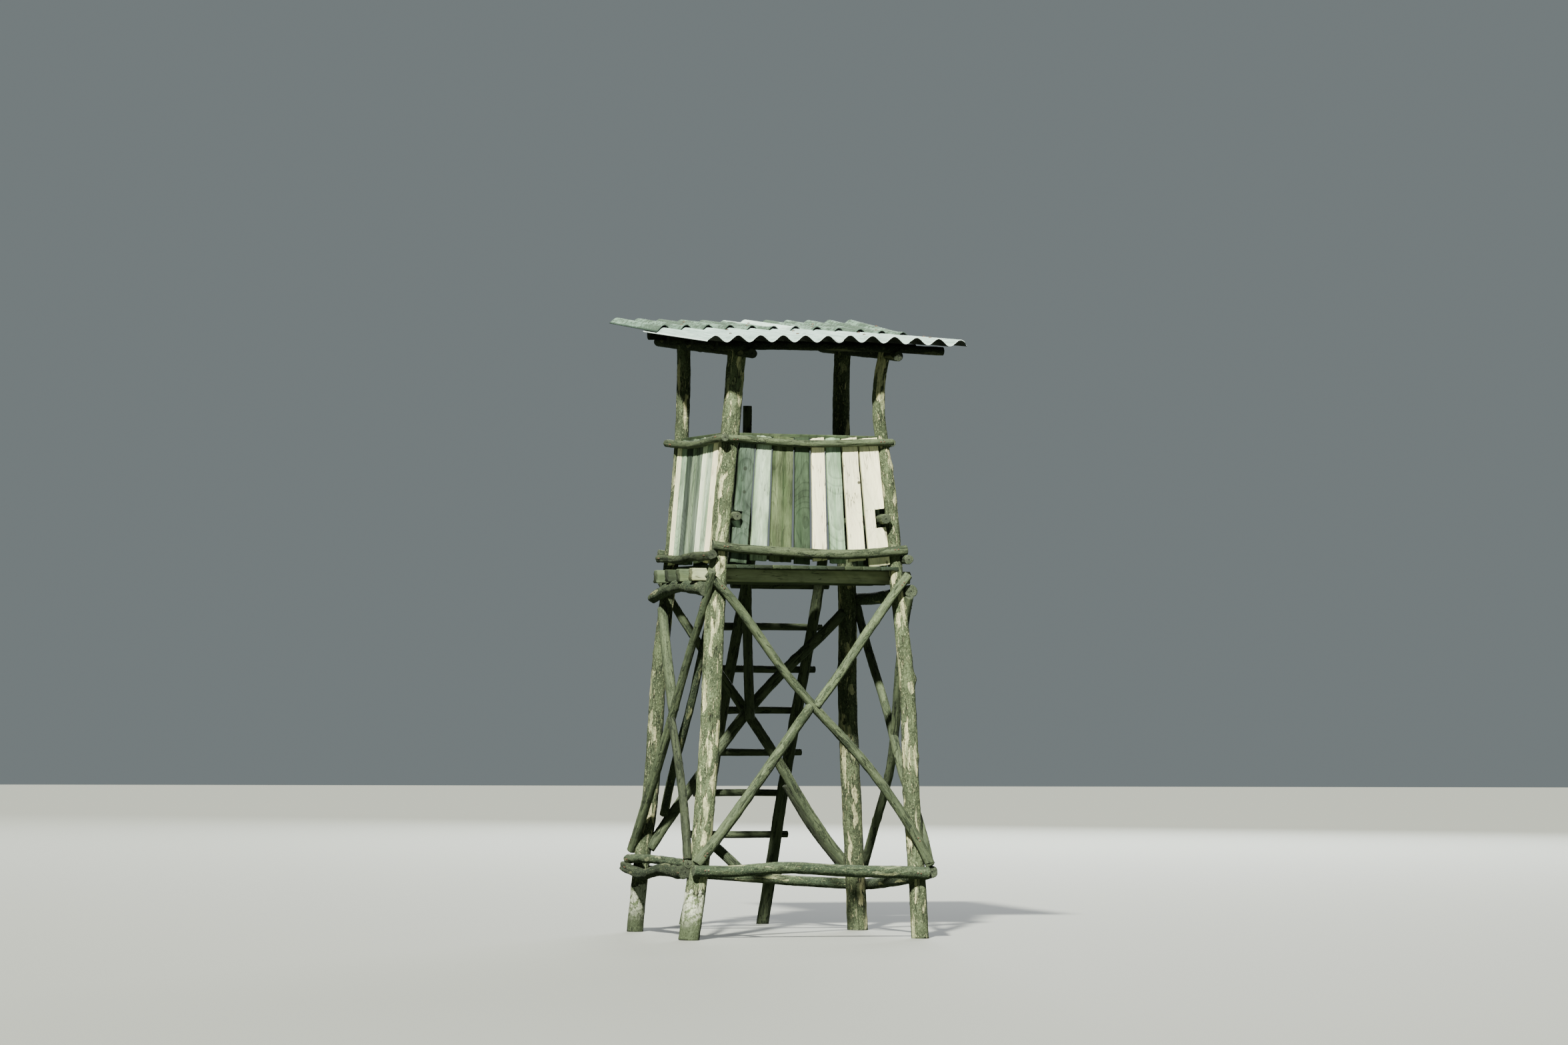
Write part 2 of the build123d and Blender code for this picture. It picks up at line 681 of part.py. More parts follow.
with BuildPart() as front_plank:
    plank(front, front_left_post, front_right_post, plank_width)
    scribe(post_front_left, post_front_right, front_top_rail, front_wall_boards)
pieces["front_plank"] = front_plank

with BuildPart() as side_planks:
    plank(left, back_left_post, front_left_post, side_plank_width)
    plank(right, front_right_post, back_right_post, side_plank_width)
    scribe(post_front_left, post_back_left, post_front_right, post_back_right, front_plank)
    scribe(left_top_rail, right_top_rail, left_wall_boards, right_wall_boards)
pieces["side_planks"] = side_planks

# The ladder leans on the back bottom rail
lean = atan(ladder_lean)
ladder_out = Vector(0, cos(lean), sin(lean))
rail_middle = (beside(back_left_post, back_rail_level, back, bottom_rail_radius)
               + beside(back_right_post, back_rail_level, back, bottom_rail_radius)) / 2
ladder_seat = rail_middle + ladder_out * (bottom_rail_radius + ladder_rail_radius - notch)


def ladder_point(height, side):
    # axis of a ladder rail at a height, side -1 left and +1 right
    share = height / ladder_top_level
    middle = at(ladder_middle_foot, ladder_middle_top, share)
    width = at(ladder_width_foot, ladder_width_top, share)
    return Vector(middle + side * width / 2, ladder_seat.Y + (ladder_seat.Z - height) * ladder_lean, height)


rail_bows = {-1: [(0.3, 8, 0), (0.6, -10, 0), (0.8, -6, 0)], 1: [(0.25, -8, 0), (0.5, -12, 0), (0.75, 6, 0)]}
with BuildPart() as ladder_rails:
    for side in (-1, 1):
        start, end = past(ladder_point(0, side), ladder_point(ladder_top_level, side), 60, 0)
        round_log(crooked(start, end, rail_bows[side], back), ladder_rail_radius + 4, ladder_rail_radius - 4)
    split(bisect_by=Plane.XY, keep=Keep.TOP)
    scribe(back_bottom_rail)
pieces["ladder_rails"] = ladder_rails

with BuildPart() as ladder_rungs:
    for index in range(rung_count):
        height = rung_first + index * rung_spacing
        lift = ladder_out * (ladder_rail_radius + rung_radius - rung_notch)
        start, end = past(ladder_point(height, -1), ladder_point(height, 1), rung_overhang, rung_overhang)
        round_log([start + lift, (start + end) / 2 + lift + up * 4 * (-1) ** index, end + lift],
                  rung_radius + 2, rung_radius - 2)
    scribe(ladder_rails)
pieces["ladder_rungs"] = ladder_rungs

# Corrugated roof sheets: underside as a cosine wave, top the same wave lifted by the thickness
first_crest_x = roof_shift_right - (sheet_waves - 0.5) * sheet_pitch


def wave_points(row_level, y, begin, finish, above):
    # points on the wave from one share of a pitch to another, counted from the first crest
    steps = round((finish - begin) * 12)
    points = []
    for index in range(steps + 1):
        share = at(begin, finish, index / steps)
        x = first_crest_x + share * sheet_pitch
        points.append((x, row_level(x, y) + above + sheet_wave / 2 * (1 + cos(2 * pi * share))))
    return points


def sheet_end(row_level, y, begin, finish, above):
    # end face of a sheet, upright at a distance from the front
    low = wave_points(row_level, y, begin, finish, above)
    high = wave_points(row_level, y, begin, finish, above + sheet_thickness)
    with BuildSketch(Plane(origin=(0, y, 0), x_dir=(1, 0, 0), z_dir=(0, -1, 0))) as section:
        with BuildLine():
            Spline(*low)
            Line(low[-1], high[-1])
            Spline(*reversed(high))
            Line(high[0], low[0])
        make_face()
    return section.sketch


def corrugated_sheet(row_level, low_y, high_y, begin, finish, above):
    loft([sheet_end(row_level, y, begin, finish, above) for y in (low_y, high_y)], ruled=True)


last_crest = 2 * sheet_waves - 1
lap_start = sheet_waves - 0.5 - side_lap / 2
lap_end = sheet_waves - 0.5 + side_lap / 2
with BuildPart() as front_left_sheet:
    corrugated_sheet(front_row_level, roof_front, front_top_y, -sheet_edge, lap_end, 0)
pieces["front_left_sheet"] = front_left_sheet

with BuildPart() as front_right_sheet:
    corrugated_sheet(front_row_level, roof_front, front_top_y, lap_start, last_crest + sheet_edge, sheet_step)
pieces["front_right_sheet"] = front_right_sheet

with BuildPart() as back_left_sheet:
    corrugated_sheet(back_row_level, lap_y, ridge_y, -sheet_edge, lap_end, 0)
pieces["back_left_sheet"] = back_left_sheet

with BuildPart() as back_right_sheet:
    corrugated_sheet(back_row_level, lap_y, ridge_y, lap_start, last_crest + sheet_edge, sheet_step)
pieces["back_right_sheet"] = back_right_sheet

# Centre the plan of the whole tower on the origin and write one file for each piece
boxes = [piece.part.bounding_box() for piece in pieces.values()]
middle_x = (min(box.min.X for box in boxes) + max(box.max.X for box in boxes)) / 2
middle_y = (min(box.min.Y for box in boxes) + max(box.max.Y for box in boxes)) / 2
centred = Location((-middle_x, -middle_y, 0))
for name, piece in pieces.items():
    placed = piece.part.moved(centred)
    placed.label = name
    export_step(placed, f"parts/{name}.step")
print("centre of the plan moved by", -middle_x, -middle_y)
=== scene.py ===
import math

import bpy
import numpy as np
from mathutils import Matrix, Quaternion, Vector


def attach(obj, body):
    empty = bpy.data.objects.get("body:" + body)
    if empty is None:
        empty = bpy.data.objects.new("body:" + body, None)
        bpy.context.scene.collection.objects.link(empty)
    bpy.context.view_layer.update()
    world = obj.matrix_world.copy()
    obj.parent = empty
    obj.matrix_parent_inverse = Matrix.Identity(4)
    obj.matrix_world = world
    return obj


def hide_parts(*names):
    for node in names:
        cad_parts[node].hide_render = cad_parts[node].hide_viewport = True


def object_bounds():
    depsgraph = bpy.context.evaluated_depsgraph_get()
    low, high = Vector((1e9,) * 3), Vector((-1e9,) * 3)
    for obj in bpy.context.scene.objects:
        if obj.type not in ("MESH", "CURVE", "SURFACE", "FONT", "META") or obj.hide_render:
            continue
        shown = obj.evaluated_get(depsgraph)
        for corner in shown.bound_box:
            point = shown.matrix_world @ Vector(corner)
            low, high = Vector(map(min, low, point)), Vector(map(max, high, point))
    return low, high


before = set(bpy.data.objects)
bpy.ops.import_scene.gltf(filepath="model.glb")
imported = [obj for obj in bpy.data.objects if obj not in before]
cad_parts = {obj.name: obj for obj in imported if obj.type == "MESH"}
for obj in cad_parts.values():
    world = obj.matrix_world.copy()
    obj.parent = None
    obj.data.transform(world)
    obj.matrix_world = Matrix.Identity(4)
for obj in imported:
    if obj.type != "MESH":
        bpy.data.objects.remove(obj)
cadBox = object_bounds()
cadLow, cadHigh = (np.array(corner, float) for corner in cadBox)
print("frame loaded")


# Reading the frame

def solidsOf(node):
    # the separate solids of a CAD node as (points, triangles); corners within 0.01 mm count as one point
    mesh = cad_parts[node].data
    points = np.empty(len(mesh.vertices) * 3, np.float32)
    mesh.vertices.foreach_get("co", points)
    points = points.reshape(-1, 3).astype(float)
    mesh.calc_loop_triangles()
    corners = np.empty(len(mesh.loop_triangles) * 3, np.int32)
    mesh.loop_triangles.foreach_get("vertices", corners)
    cell = np.round((points + 10) / 1e-5).astype(np.int64)
    key = (cell[:, 0] << 42) + (cell[:, 1] << 21) + cell[:, 2]
    first, joined = np.unique(key, return_index=True, return_inverse=True)[1:]
    points, corners = points[first], joined[corners].reshape(-1, 3)
    label, changed = np.arange(len(points)), True
    while changed:
        lowest = label[corners].min(axis=1)
        lower = label.copy()
        np.minimum.at(lower, corners, lowest[:, None])
        lower = lower[lower]
        changed = bool((lower != label).any())
        label = lower
    found = []
    for part in np.unique(label[corners[:, 0]]):
        used, local = np.unique(corners[label[corners[:, 0]] == part], return_inverse=True)
        found.append((points[used], local.reshape(-1, 3)))
    return sorted(found, key=lambda solid: tuple(np.round(solid[0].mean(axis=0), 3)))


def unit(vector):
    return vector / np.linalg.norm(vector, axis=-1, keepdims=True)


def longAxis(points):
    # the direction in which a solid is longest, pointing up or to +X or +Y
    axis = np.linalg.svd(points - points.mean(axis=0), full_matrices=False)[2][0]
    return axis * np.sign(axis[np.abs(axis).argmax()])


# how a log's slices are read, in metres: the most that a rim point may be off its circle, the radii that logs
# have, the step between slices and how far the first lies from the end; a slice is sure when its circle scores
# this much, and close when its radius is this near to the log's taper
rimLook = {"miss": 0.0012, "slimmest": 0.015, "widest": 0.12, "step": 0.06, "inset": 0.03, "tries": 160,
           "sure": 0.4, "close": 0.004}
noCircle = -9


def slicePoints(corners, heights, flat, level):
    # where the edges of triangles pass a level, from each point's height and its place across
    ends = np.concatenate([corners[:, [0, 1]], corners[:, [1, 2]], corners[:, [2, 0]]]).T
    low, high = heights[ends] - level
    hit = low * high < 0
    share = (low[hit] / (low[hit] - high[hit]))[:, None]
    return flat[ends[0, hit]] * (1 - share) + flat[ends[1, hit]] * share


def rimCircle(rim, draws):
    # the circle that most rim points lie on, with none outside: tried through random triples, best one kept
    a, b, c = (rim[draws[:, k] % len(rim)] for k in range(3))

    def turned(values, k):
        return values[0] * (b[:, k] - c[:, k]) + values[1] * (c[:, k] - a[:, k]) + values[2] * (a[:, k] - b[:, k])

    turn = 2 * turned((a[:, 0], b[:, 0], c[:, 0]), 1)
    turn = np.where(np.abs(turn) < 1e-9, 1e-9, turn)
    squares = [(p ** 2).sum(axis=1) for p in (a, b, c)]
    x, y = turned(squares, 1) / turn, -turned(squares, 0) / turn
    centre = np.stack([x, y], axis=1)
    radius = np.linalg.norm(a - centre, axis=1)
    miss = np.linalg.norm(rim[None] - centre[:, None], axis=2) - radius[:, None]
    score = (np.abs(miss) < rimLook["miss"]).mean(axis=1) - 2 * (miss > rimLook["miss"]).mean(axis=1)
    score[(radius > rimLook["widest"]) | (radius < rimLook["slimmest"])] = noCircle
    best = score.argmax()
    return centre[best], radius[best], score[best]


def spineOf(points, corners):
    # centre line and radius of a round log, from circles through slices square to its long axis
    axis = longAxis(points)
    across = unit(np.cross(axis, [0, 0, 1] if abs(axis[2]) < 0.8 else [1, 0, 0]))
    third = np.cross(axis, across)
    along = points @ axis
    flat = np.stack([points @ across, points @ third], axis=1)
    low, high = along.min(), along.max()
    inset = rimLook["inset"]
    levels = np.linspace(low + inset, high - inset, max(9, int((high - low) / rimLook["step"])))
    draws = np.random.default_rng(11).integers(0, 1 << 30, (rimLook["tries"], 3))
    found = []
    for level in levels:
        rim = slicePoints(corners, along, flat, level)
        found.append(rimCircle(rim, draws) if len(rim) > 8 else (flat.mean(axis=0), 0.04, noCircle))
    centres, radii, scores = (np.array(values) for values in zip(*found))
    sure = scores > rimLook["sure"]
    for again in range(3):
        slope = np.polyfit(levels[sure], radii[sure], 1)
        close = np.abs(radii - np.polyval(slope, levels)) < rimLook["close"]
        if (sure & close).sum() > 3:
            sure = sure & close
    stops = np.concatenate([[low], levels, [high]])
    columns = []
    for k in range(2):
        line = np.interp(levels, levels[sure], centres[sure, k])
        line[1:-1] = line[1:-1] * 0.5 + (line[:-2] + line[2:]) * 0.25
        start, finish = (line[i] + (line[i] - line[j]) / (levels[i] - levels[j]) * (end - levels[i])
                         for i, j, end in ((0, 2, low), (-1, -3, high)))
        columns.append(np.concatenate([[start], line, [finish]]))
    path = stops[:, None] * axis + columns[0][:, None] * across + columns[1][:, None] * third
    return {"path": path, "radius": np.polyval(slope, stops), "side": across}


# Meshes

def placed(name, data):
    thing = bpy.data.objects.new(name, data)
    bpy.context.scene.collection.objects.link(thing)
    return thing


def makeMesh(name, points, quads, triangles, attributes):
    # one mesh from point, quad and triangle arrays, with its point attributes
    mesh = bpy.data.meshes.new(name)
    mesh.vertices.add(len(points))
    mesh.vertices.foreach_set("co", points.astype(np.float32).ravel())
    sizes = np.concatenate([np.full(len(quads), 4), np.full(len(triangles), 3)]).astype(np.int32)
    mesh.loops.add(int(sizes.sum()))
    loops = np.concatenate([quads.ravel(), triangles.ravel()]).astype(np.int32)
    mesh.loops.foreach_set("vertex_index", loops)
    mesh.polygons.add(len(sizes))
    mesh.polygons.foreach_set("loop_start", np.concatenate([[0], np.cumsum(sizes)[:-1]]).astype(np.int32))
    mesh.update(calc_edges=True)
    mesh.polygons.foreach_set("use_smooth", np.ones(len(sizes), bool))
    for key, values in attributes.items():
        kind = "FLOAT_VECTOR" if values.shape[1] == 3 else "FLOAT_COLOR"
        layer = mesh.attributes.new(key, kind, "POINT")
        layer.data.foreach_set("vector" if kind == "FLOAT_VECTOR" else "color", values.astype(np.float32).ravel())
    mesh.validate()
    return placed(name, mesh)


def tubeFaces(rows, cols, start):
    # faces of a grid that closes round a tube, with a fan at each end; the two end points follow the grid
    cell = np.arange(rows * cols).reshape(rows, cols)
    ahead = np.roll(cell, -1, axis=1)
    quads = np.stack([cell[:-1], ahead[:-1], ahead[1:], cell[1:]], axis=2).reshape(-1, 4)
    first = np.stack([np.full(cols, rows * cols), ahead[0], cell[0]], axis=1)
    final = np.stack([np.full(cols, rows * cols + 1), cell[-1], ahead[-1]], axis=1)
    return quads + start, np.concatenate([first, final]) + start


def joinParts(parts):
    # puts several closed surfaces into one set of arrays
    points, faces, extras, start = [], [], {}, 0
    for part in parts:
        rows, cols = part["grid"].shape[:2]
        points += [part["grid"].reshape(-1, 3), part["tips"]]
        faces.append(tubeFaces(rows, cols, start))
        for key, values in part["extra"].items():
            extras.setdefault(key, []).append(values)
        start += rows * cols + 2
    quads, triangles = (np.concatenate(kind) for kind in zip(*faces))
    return np.concatenate(points), quads, triangles, {key: np.concatenate(values) for key, values in extras.items()}


def perPoint(first, second, third, tips=np.zeros((0, 3))):
    # three grids of numbers as the vectors of an attribute, with those of the two end points after them
    return np.concatenate([np.stack(np.broadcast_arrays(first, second, third), axis=2).reshape(-1, 3), tips])


def finished(piece, material, node=None):
    # gives a piece its material; it rides on the tower's one body and stands for its CAD node, if any
    piece.data.materials.append(material)
    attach(piece, "root")
    if node:
        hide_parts(node)


def pieceName(node):
    words = node.split("_")
    return words[0] + "".join(word.capitalize() for word in words[1:])


def ease(share):
    return share * share * (3 - 2 * share)


def wrapNoise(rng, rows, cols, cellsAlong, cellsAround):
    # smooth noise from -1 to 1 that closes round the log: lattice values eased into each other
    cellsAlong, cellsAround = max(2, int(cellsAlong)), max(2, int(cellsAround))
    lattice = rng.uniform(-1, 1, (cellsAlong + 2, cellsAround))
    u, v = np.linspace(0, cellsAlong, rows), np.arange(cols) * cellsAround / cols
    i, j = u.astype(int), v.astype(int)
    fu, fv = ease(u - i)[:, None], ease(v - j)[None, :]
    near, far = (rows[:, j] * (1 - fv) + rows[:, (j + 1) % cellsAround] * fv for rows in (lattice[i], lattice[i + 1]))
    return near * (1 - fu) + far * fu


# Round logs

endRingSizes = np.array([0.3, 0.55, 0.78, 0.94, 1.0])  # rings on a cut end, as shares of its radius
endSink = 0.002  # how far the outermost ring lies in from the end, in metres


def patches(rng, along, angle, radius, look):
    # soft-edged streaks along the grain: the highest of exp(-(run / long)^4 - (around / wide)^2), where the
    # middle of each streak wanders a little round the log
    found = np.zeros((len(along), angle.shape[1]))
    for each in range(int(along[-1] * look["perMetre"])):
        place, turn = rng.uniform(along[0], along[-1]), rng.uniform(0, 2 * np.pi)
        long, wide = rng.uniform(*look["long"]), rng.uniform(*look["wide"])
        run = ((along - place) / long)[:, None]
        lane = turn + look["wander"] * np.sin(run * 3 + turn * 5)
        around = np.angle(np.exp(1j * (angle - lane))) * radius
        found = np.maximum(found, rng.uniform(0.5, 1) * np.exp(-run ** 4 - (around / wide) ** 2))
    return found


def roundLog(spine, look, seed):
    # a log carried along its spine: radius = taper * (1 + lobes) + ridges + lumps + knots - peeled streaks - splits,
    # closed by cut ends whose rings shrink to the middle
    rng = np.random.default_rng(seed)
    path, taper = spine["path"], spine["radius"]
    steps = np.linalg.norm(np.diff(path, axis=0), axis=1)
    length = steps.sum()
    at = np.concatenate([[0], np.cumsum(steps)])
    rows, cols = max(24, int(length / look["rowStep"])), look["cols"]
    along = np.linspace(0, length, rows)
    centre = np.stack([np.interp(along, at, path[:, k]) for k in range(3)], axis=1)
    kernel = np.hanning(9) / np.hanning(9).sum()
    for k in range(3):
        padded = np.pad(centre[:, k], 4, mode="reflect", reflect_type="odd")
        centre[:, k] = np.convolve(padded, kernel, mode="valid")
    radius = np.interp(along, at, taper)[:, None]
    tangent = unit(np.gradient(centre, axis=0))
    normal = unit(spine["side"] - (tangent @ spine["side"])[:, None] * tangent)
    binormal = np.cross(tangent, normal)
    angle = (np.arange(cols) * 2 * np.pi / cols)[None, :]
    swirl = wrapNoise(rng, rows, cols, length / 0.7, 3)
    lobes = look["lobes"] * (np.cos(2 * angle + 6 * rng.random()) + 0.6 * np.cos(3 * angle + swirl * 2))
    ridges = look["ridges"] * wrapNoise(rng, rows, cols, length / 0.45, cols / 4)
    lumps = look["lumps"] * wrapNoise(rng, rows, cols, length / 0.07, cols / 6)
    fine = look["fine"] * wrapNoise(rng, rows, cols, length / 0.018, cols / 2)
    shape = radius * (1 + lobes) + ridges + lumps + fine
    knots = np.zeros((rows, cols))
    places = [(rng.uniform(0.06, 0.94) * length, rng.uniform(0, 2 * np.pi), rng.uniform(0.25, 0.5),
               rng.uniform(0.04, 0.14)) for each in range(int(length * look["knotsPerMetre"]))]
    places += [(share * length, turn, wide, high) for share, turn, wide, high in look.get("bumps", ())]
    for place, turn, wide, high in places:
        gap = np.angle(np.exp(1j * (angle - turn))) * radius
        away = np.sqrt((along[:, None] - place) ** 2 * 0.45 + gap ** 2) / (wide * radius)
        shape = shape + radius * high * np.exp(-away ** 2)
        knots = np.maximum(knots, np.exp(-(away * 2.6) ** 2))
    peeled, splits = (patches(rng, along, angle, radius, look[kind]) for kind in ("peels", "splits"))
    shape = shape - look["peels"]["deep"] * ease(np.clip(peeled * 2 - 0.5, 0, 1)) - look["splits"]["deep"] * splits
    grid = centre[:, None] + shape[..., None] * (np.cos(angle)[..., None] * normal[:, None]
                                                 + np.sin(angle)[..., None] * binormal[:, None])
    # cut ends: chamfer, then rings towards the middle
    startRings = centre[0] + (grid[0] - centre[0]) * endRingSizes[:, None, None]
    endRings = centre[-1] + (grid[-1] - centre[-1]) * endRingSizes[::-1, None, None]
    startRings[-1] = startRings[-1] + tangent[0] * endSink
    endRings[0] = endRings[0] - tangent[-1] * endSink
    grid = np.concatenate([startRings, grid[1:-1], endRings])
    tips = np.stack([centre[0], centre[-1]])
    grid, tips = (np.clip(part, cadLow, cadHigh) for part in (grid, tips))
    rings = len(endRingSizes)
    spread = np.concatenate([endRingSizes, np.ones(rows - 2), endRingSizes[::-1]])
    level = np.pad(along[1:-1], rings, constant_values=(along[0], along[-1]))[:, None]
    across = (spread * np.pad(radius[1:-1, 0], rings, constant_values=(radius[0, 0], radius[-1, 0])))[:, None]
    offset = rng.uniform(-40, 40, 3)
    coord = perPoint(across * np.cos(angle), across * np.sin(angle), level, [[0, 0, 0], [0, 0, length]]) + offset
    cut = np.pad(np.zeros(rows), rings - 1, constant_values=1)[:, None]
    knots, peeled, splits = (np.pad(part[1:-1], ((rings, rings), (0, 0))) for part in (knots, peeled, splits))
    usual = rng.uniform(0.8, 1.1)
    tone = look["tone"] or usual
    mark = perPoint(knots, cut, tone, [[0, 1, tone], [0, 1, tone]])
    reach = perPoint(across, splits, peeled, np.zeros((2, 3)))
    return {"grid": grid, "tips": tips, "extra": {"logCoord": coord, "logMark": mark, "logReach": reach}}


# Shader helpers

def isSocket(value):
    return isinstance(value, bpy.types.NodeSocket)


def put(tree, kind, links=None, **settings):
    # adds a node, sets its properties and values, and links the sockets given by name or number
    node = tree.nodes.new(kind)
    for key, value in settings.items():
        setattr(node, key, value)
    for key, value in (links or {}).items():
        if isSocket(value):
            tree.links.new(value, node.inputs[key])
        else:
            node.inputs[key].default_value = value
    return node


def add(kind, links, **settings):
    # the same, in the tree of the first socket among the links
    return put(next(value.id_data for value in links.values() if isSocket(value)), kind, links, **settings)


def maths(how, *values, clamp=False):
    return add("ShaderNodeMath", dict(enumerate(values)), operation=how, use_clamp=clamp).outputs[0]


def product(value, *others):
    for other in others:
        value = maths("MULTIPLY", value, other)
    return value


def highest(value, *others):
    for other in others:
        value = maths("MAXIMUM", value, other)
    return value


def minus(value, other):
    return maths("SUBTRACT", value, other)


def scaled(value, share, start):
    # value * share + start
    return maths("MULTIPLY_ADD", value, share, start)


def mixed(share, first, second, how="MIX"):
    # from the first colour to the second as the share goes from 0 to 1; colours are sockets or (red, green, blue)
    first, second = ((*value, 1) if isinstance(value, tuple) else value for value in (first, second))
    links = {0: share, 6: first, 7: second}
    return add("ShaderNodeMix", links, data_type="RGBA", blend_type=how).outputs[2]


def over(colour, upper, *masks):
    # one colour laid over another as far as all the masks let it
    return mixed(product(*masks), colour, upper)


def tinted(colour, tint):
    return mixed(1.0, colour, tint, "MULTIPLY")


def stained(colour, stain, *masks):
    return over(colour, tinted(colour, stain), *masks)


def greyOf(value):
    return add("ShaderNodeCombineColor", {0: value, 1: value, 2: value}).outputs[0]


def between(value, low, high):
    # 0 below low, 1 above high, eased in between
    links = {0: value, 1: low, 2: high, 3: 0.0, 4: 1.0}
    return add("ShaderNodeMapRange", links, interpolation_type="SMOOTHSTEP").outputs[0]


def noise(vector, scale, detail=4.0, rough=0.55, warp=0.0):
    links = {"Vector": vector, "Scale": scale, "Detail": detail, "Roughness": rough, "Distortion": warp}
    return add("ShaderNodeTexNoise", links).outputs[0]


def cells(vector, scale):
    # distance to the nearest of scattered points
    return add("ShaderNodeTexVoronoi", {"Vector": vector, "Scale": scale, "Randomness": 1.0}).outputs["Distance"]


def stretched(vector, x, y, z):
    return add("ShaderNodeVectorMath", {0: vector, 1: (x, y, z)}, operation="MULTIPLY").outputs[0]


def drawn(vector, share):
    # coordinates that pull a pattern out along the grain, which is the third axis
    return stretched(vector, 1.0, 1.0, share)


def attribute(tree, name, output="Vector"):
    return put(tree, "ShaderNodeAttribute", attribute_name=name).outputs[output]


def objectPlace(tree):
    return put(tree, "ShaderNodeTexCoord").outputs["Object"]


def channels(vector):
    return add("ShaderNodeSeparateXYZ", {0: vector}).outputs


def newGroup(name, numbers):
    # a node group that takes a vector, and numbers with their usual values
    group = bpy.data.node_groups.new(name, "ShaderNodeTree")
    group.interface.new_socket(name="Vector", in_out="INPUT", socket_type="NodeSocketVector")
    for label, value in numbers.items():
        group.interface.new_socket(name=label, in_out="INPUT", socket_type="NodeSocketFloat").default_value = value
    return group, put(group, "NodeGroupInput").outputs


def closed(group, masks):
    # ends a group with the masks that it gives out, by name
    for label in masks:
        group.interface.new_socket(name=label, in_out="OUTPUT", socket_type="NodeSocketFloat")
    put(group, "NodeGroupOutput", dict(enumerate(masks.values())))
    return group


def useGroup(group, *values):
    return add("ShaderNodeGroup", dict(enumerate(values)), node_tree=group).outputs


def newMaterial(name):
    material = bpy.data.materials.new(name)
    material.use_nodes = True
    material.node_tree.nodes.clear()
    return material, material.node_tree


def surfaced(material, colour, rough, height, strength, distance, plain):
    # ends a material with its Principled shader, which is bumped by the height
    bump = add("ShaderNodeBump", {"Strength": strength, "Distance": distance, "Height": height}).outputs[0]
    shader = add("ShaderNodeBsdfPrincipled", {"Base Color": colour, "Roughness": rough, "Normal": bump, **plain})
    add("ShaderNodeOutputMaterial", {0: shader.outputs[0]})
    return material


def weatherGroup():
    # grey-green bloom and bleached patches: two broad noises, drawn out along the grain
    group, given = newGroup("weathering", {"Patch Scale": 5.0, "Stretch": 0.3})
    long = add("ShaderNodeCombineXYZ", {0: 1.0, 1: 1.0, 2: given[2]}).outputs[0]
    pulled = add("ShaderNodeVectorMath", {0: given[0], 1: long}, operation="MULTIPLY").outputs[0]
    bleach = noise(pulled, given[1], 5.0, 0.6, 0.4)
    bloom = noise(pulled, product(given[1], 1.7), 4.0, 0.65, 0.2)
    specks = noise(given[0], 90.0, 3.0, 0.7)
    return closed(group, {"Bleach": between(bleach, 0.42, 0.62), "Bloom": between(bloom, 0.45, 0.68),
                          "Specks": between(specks, 0.5, 0.7)})


def fibreGroup():
    # long fibres and drying cracks: fine noises pulled out along the grain
    group, given = newGroup("woodFibre", {"Fibre Scale": 160.0, "Crack Scale": 30.0})
    fibre = noise(drawn(given[0], 0.05), given[1], 5.0, 0.62, 0.15)
    split = noise(drawn(given[0], 0.07), given[2], 3.0, 0.5, 0.3)
    line = between(maths("ABSOLUTE", minus(split, 0.5)), 0.018, 0.0)
    cracks = product(line, between(noise(given[0], 6.0, 2.0), 0.46, 0.6))
    return closed(group, {"Fibre": fibre, "Cracks": cracks, "Height": minus(product(fibre, 0.45), cracks)})


def peelGroup():
    # where the bark is off: the streaks in the mesh plus a ragged noise, cut off sharply, and a line along the rim
    group, given = newGroup("barkPeel", {"Streaks": 0.0, "Level": 0.6, "Rag Scale": 34.0})
    rag = noise(drawn(given[0], 0.22), given[3], 4.0, 0.6, 0.5)
    above = minus(scaled(given[1], 0.6, rag), given[2])
    return closed(group, {"Bare": between(above, 0.0, 0.03), "Rim": between(maths("ABSOLUTE", above), 0.035, 0.0)})


def pitGroup():
    # small dark pits and beetle holes: cells drawn out along the grain, kept only in some areas
    group, given = newGroup("woodPits", {"Pit Scale": 70.0})
    some = between(noise(given[0], 11.0, 2.0), 0.47, 0.6)
    return closed(group, {"Pits": product(between(cells(drawn(given[0], 0.5), given[1]), 0.2, 0.09), some)})


def figureGroup():
    # the sawn figure of a board: rings about a pith that runs under the face at a slant, warped a little
    group, given = newGroup("boardFigure", {"Ring Gap": 0.006, "Pith Depth": 0.05, "Slant": 0.02})
    x, along = (channels(given[0])[k] for k in (0, 2))
    warp = noise(stretched(given[0], 6.0, 6.0, 1.1), 1.0, 3.0)
    slow = noise(stretched(given[0], 0.5, 0.5, 1.6), 1.0, 1.0)
    deep = scaled(along, given[3], scaled(slow, 0.12, given[2]))
    x = maths("PINGPONG", maths("ADD", x, product(minus(warp, 0.5), 0.07)), 0.11)
    away = maths("SQRT", maths("ADD", product(x, x), product(deep, deep)))
    fine = noise(drawn(given[0], 0.02), 420.0, 4.0, 0.6)
    return closed(group, {"Rings": maths("FRACT", maths("DIVIDE", away, given[1])), "Fine": fine})


weathering, woodFibre, barkPeel = weatherGroup(), fibreGroup(), peelGroup()
woodPits, boardFigure = pitGroup(), figureGroup()
dullShine = {"Specular IOR Level": 0.25}


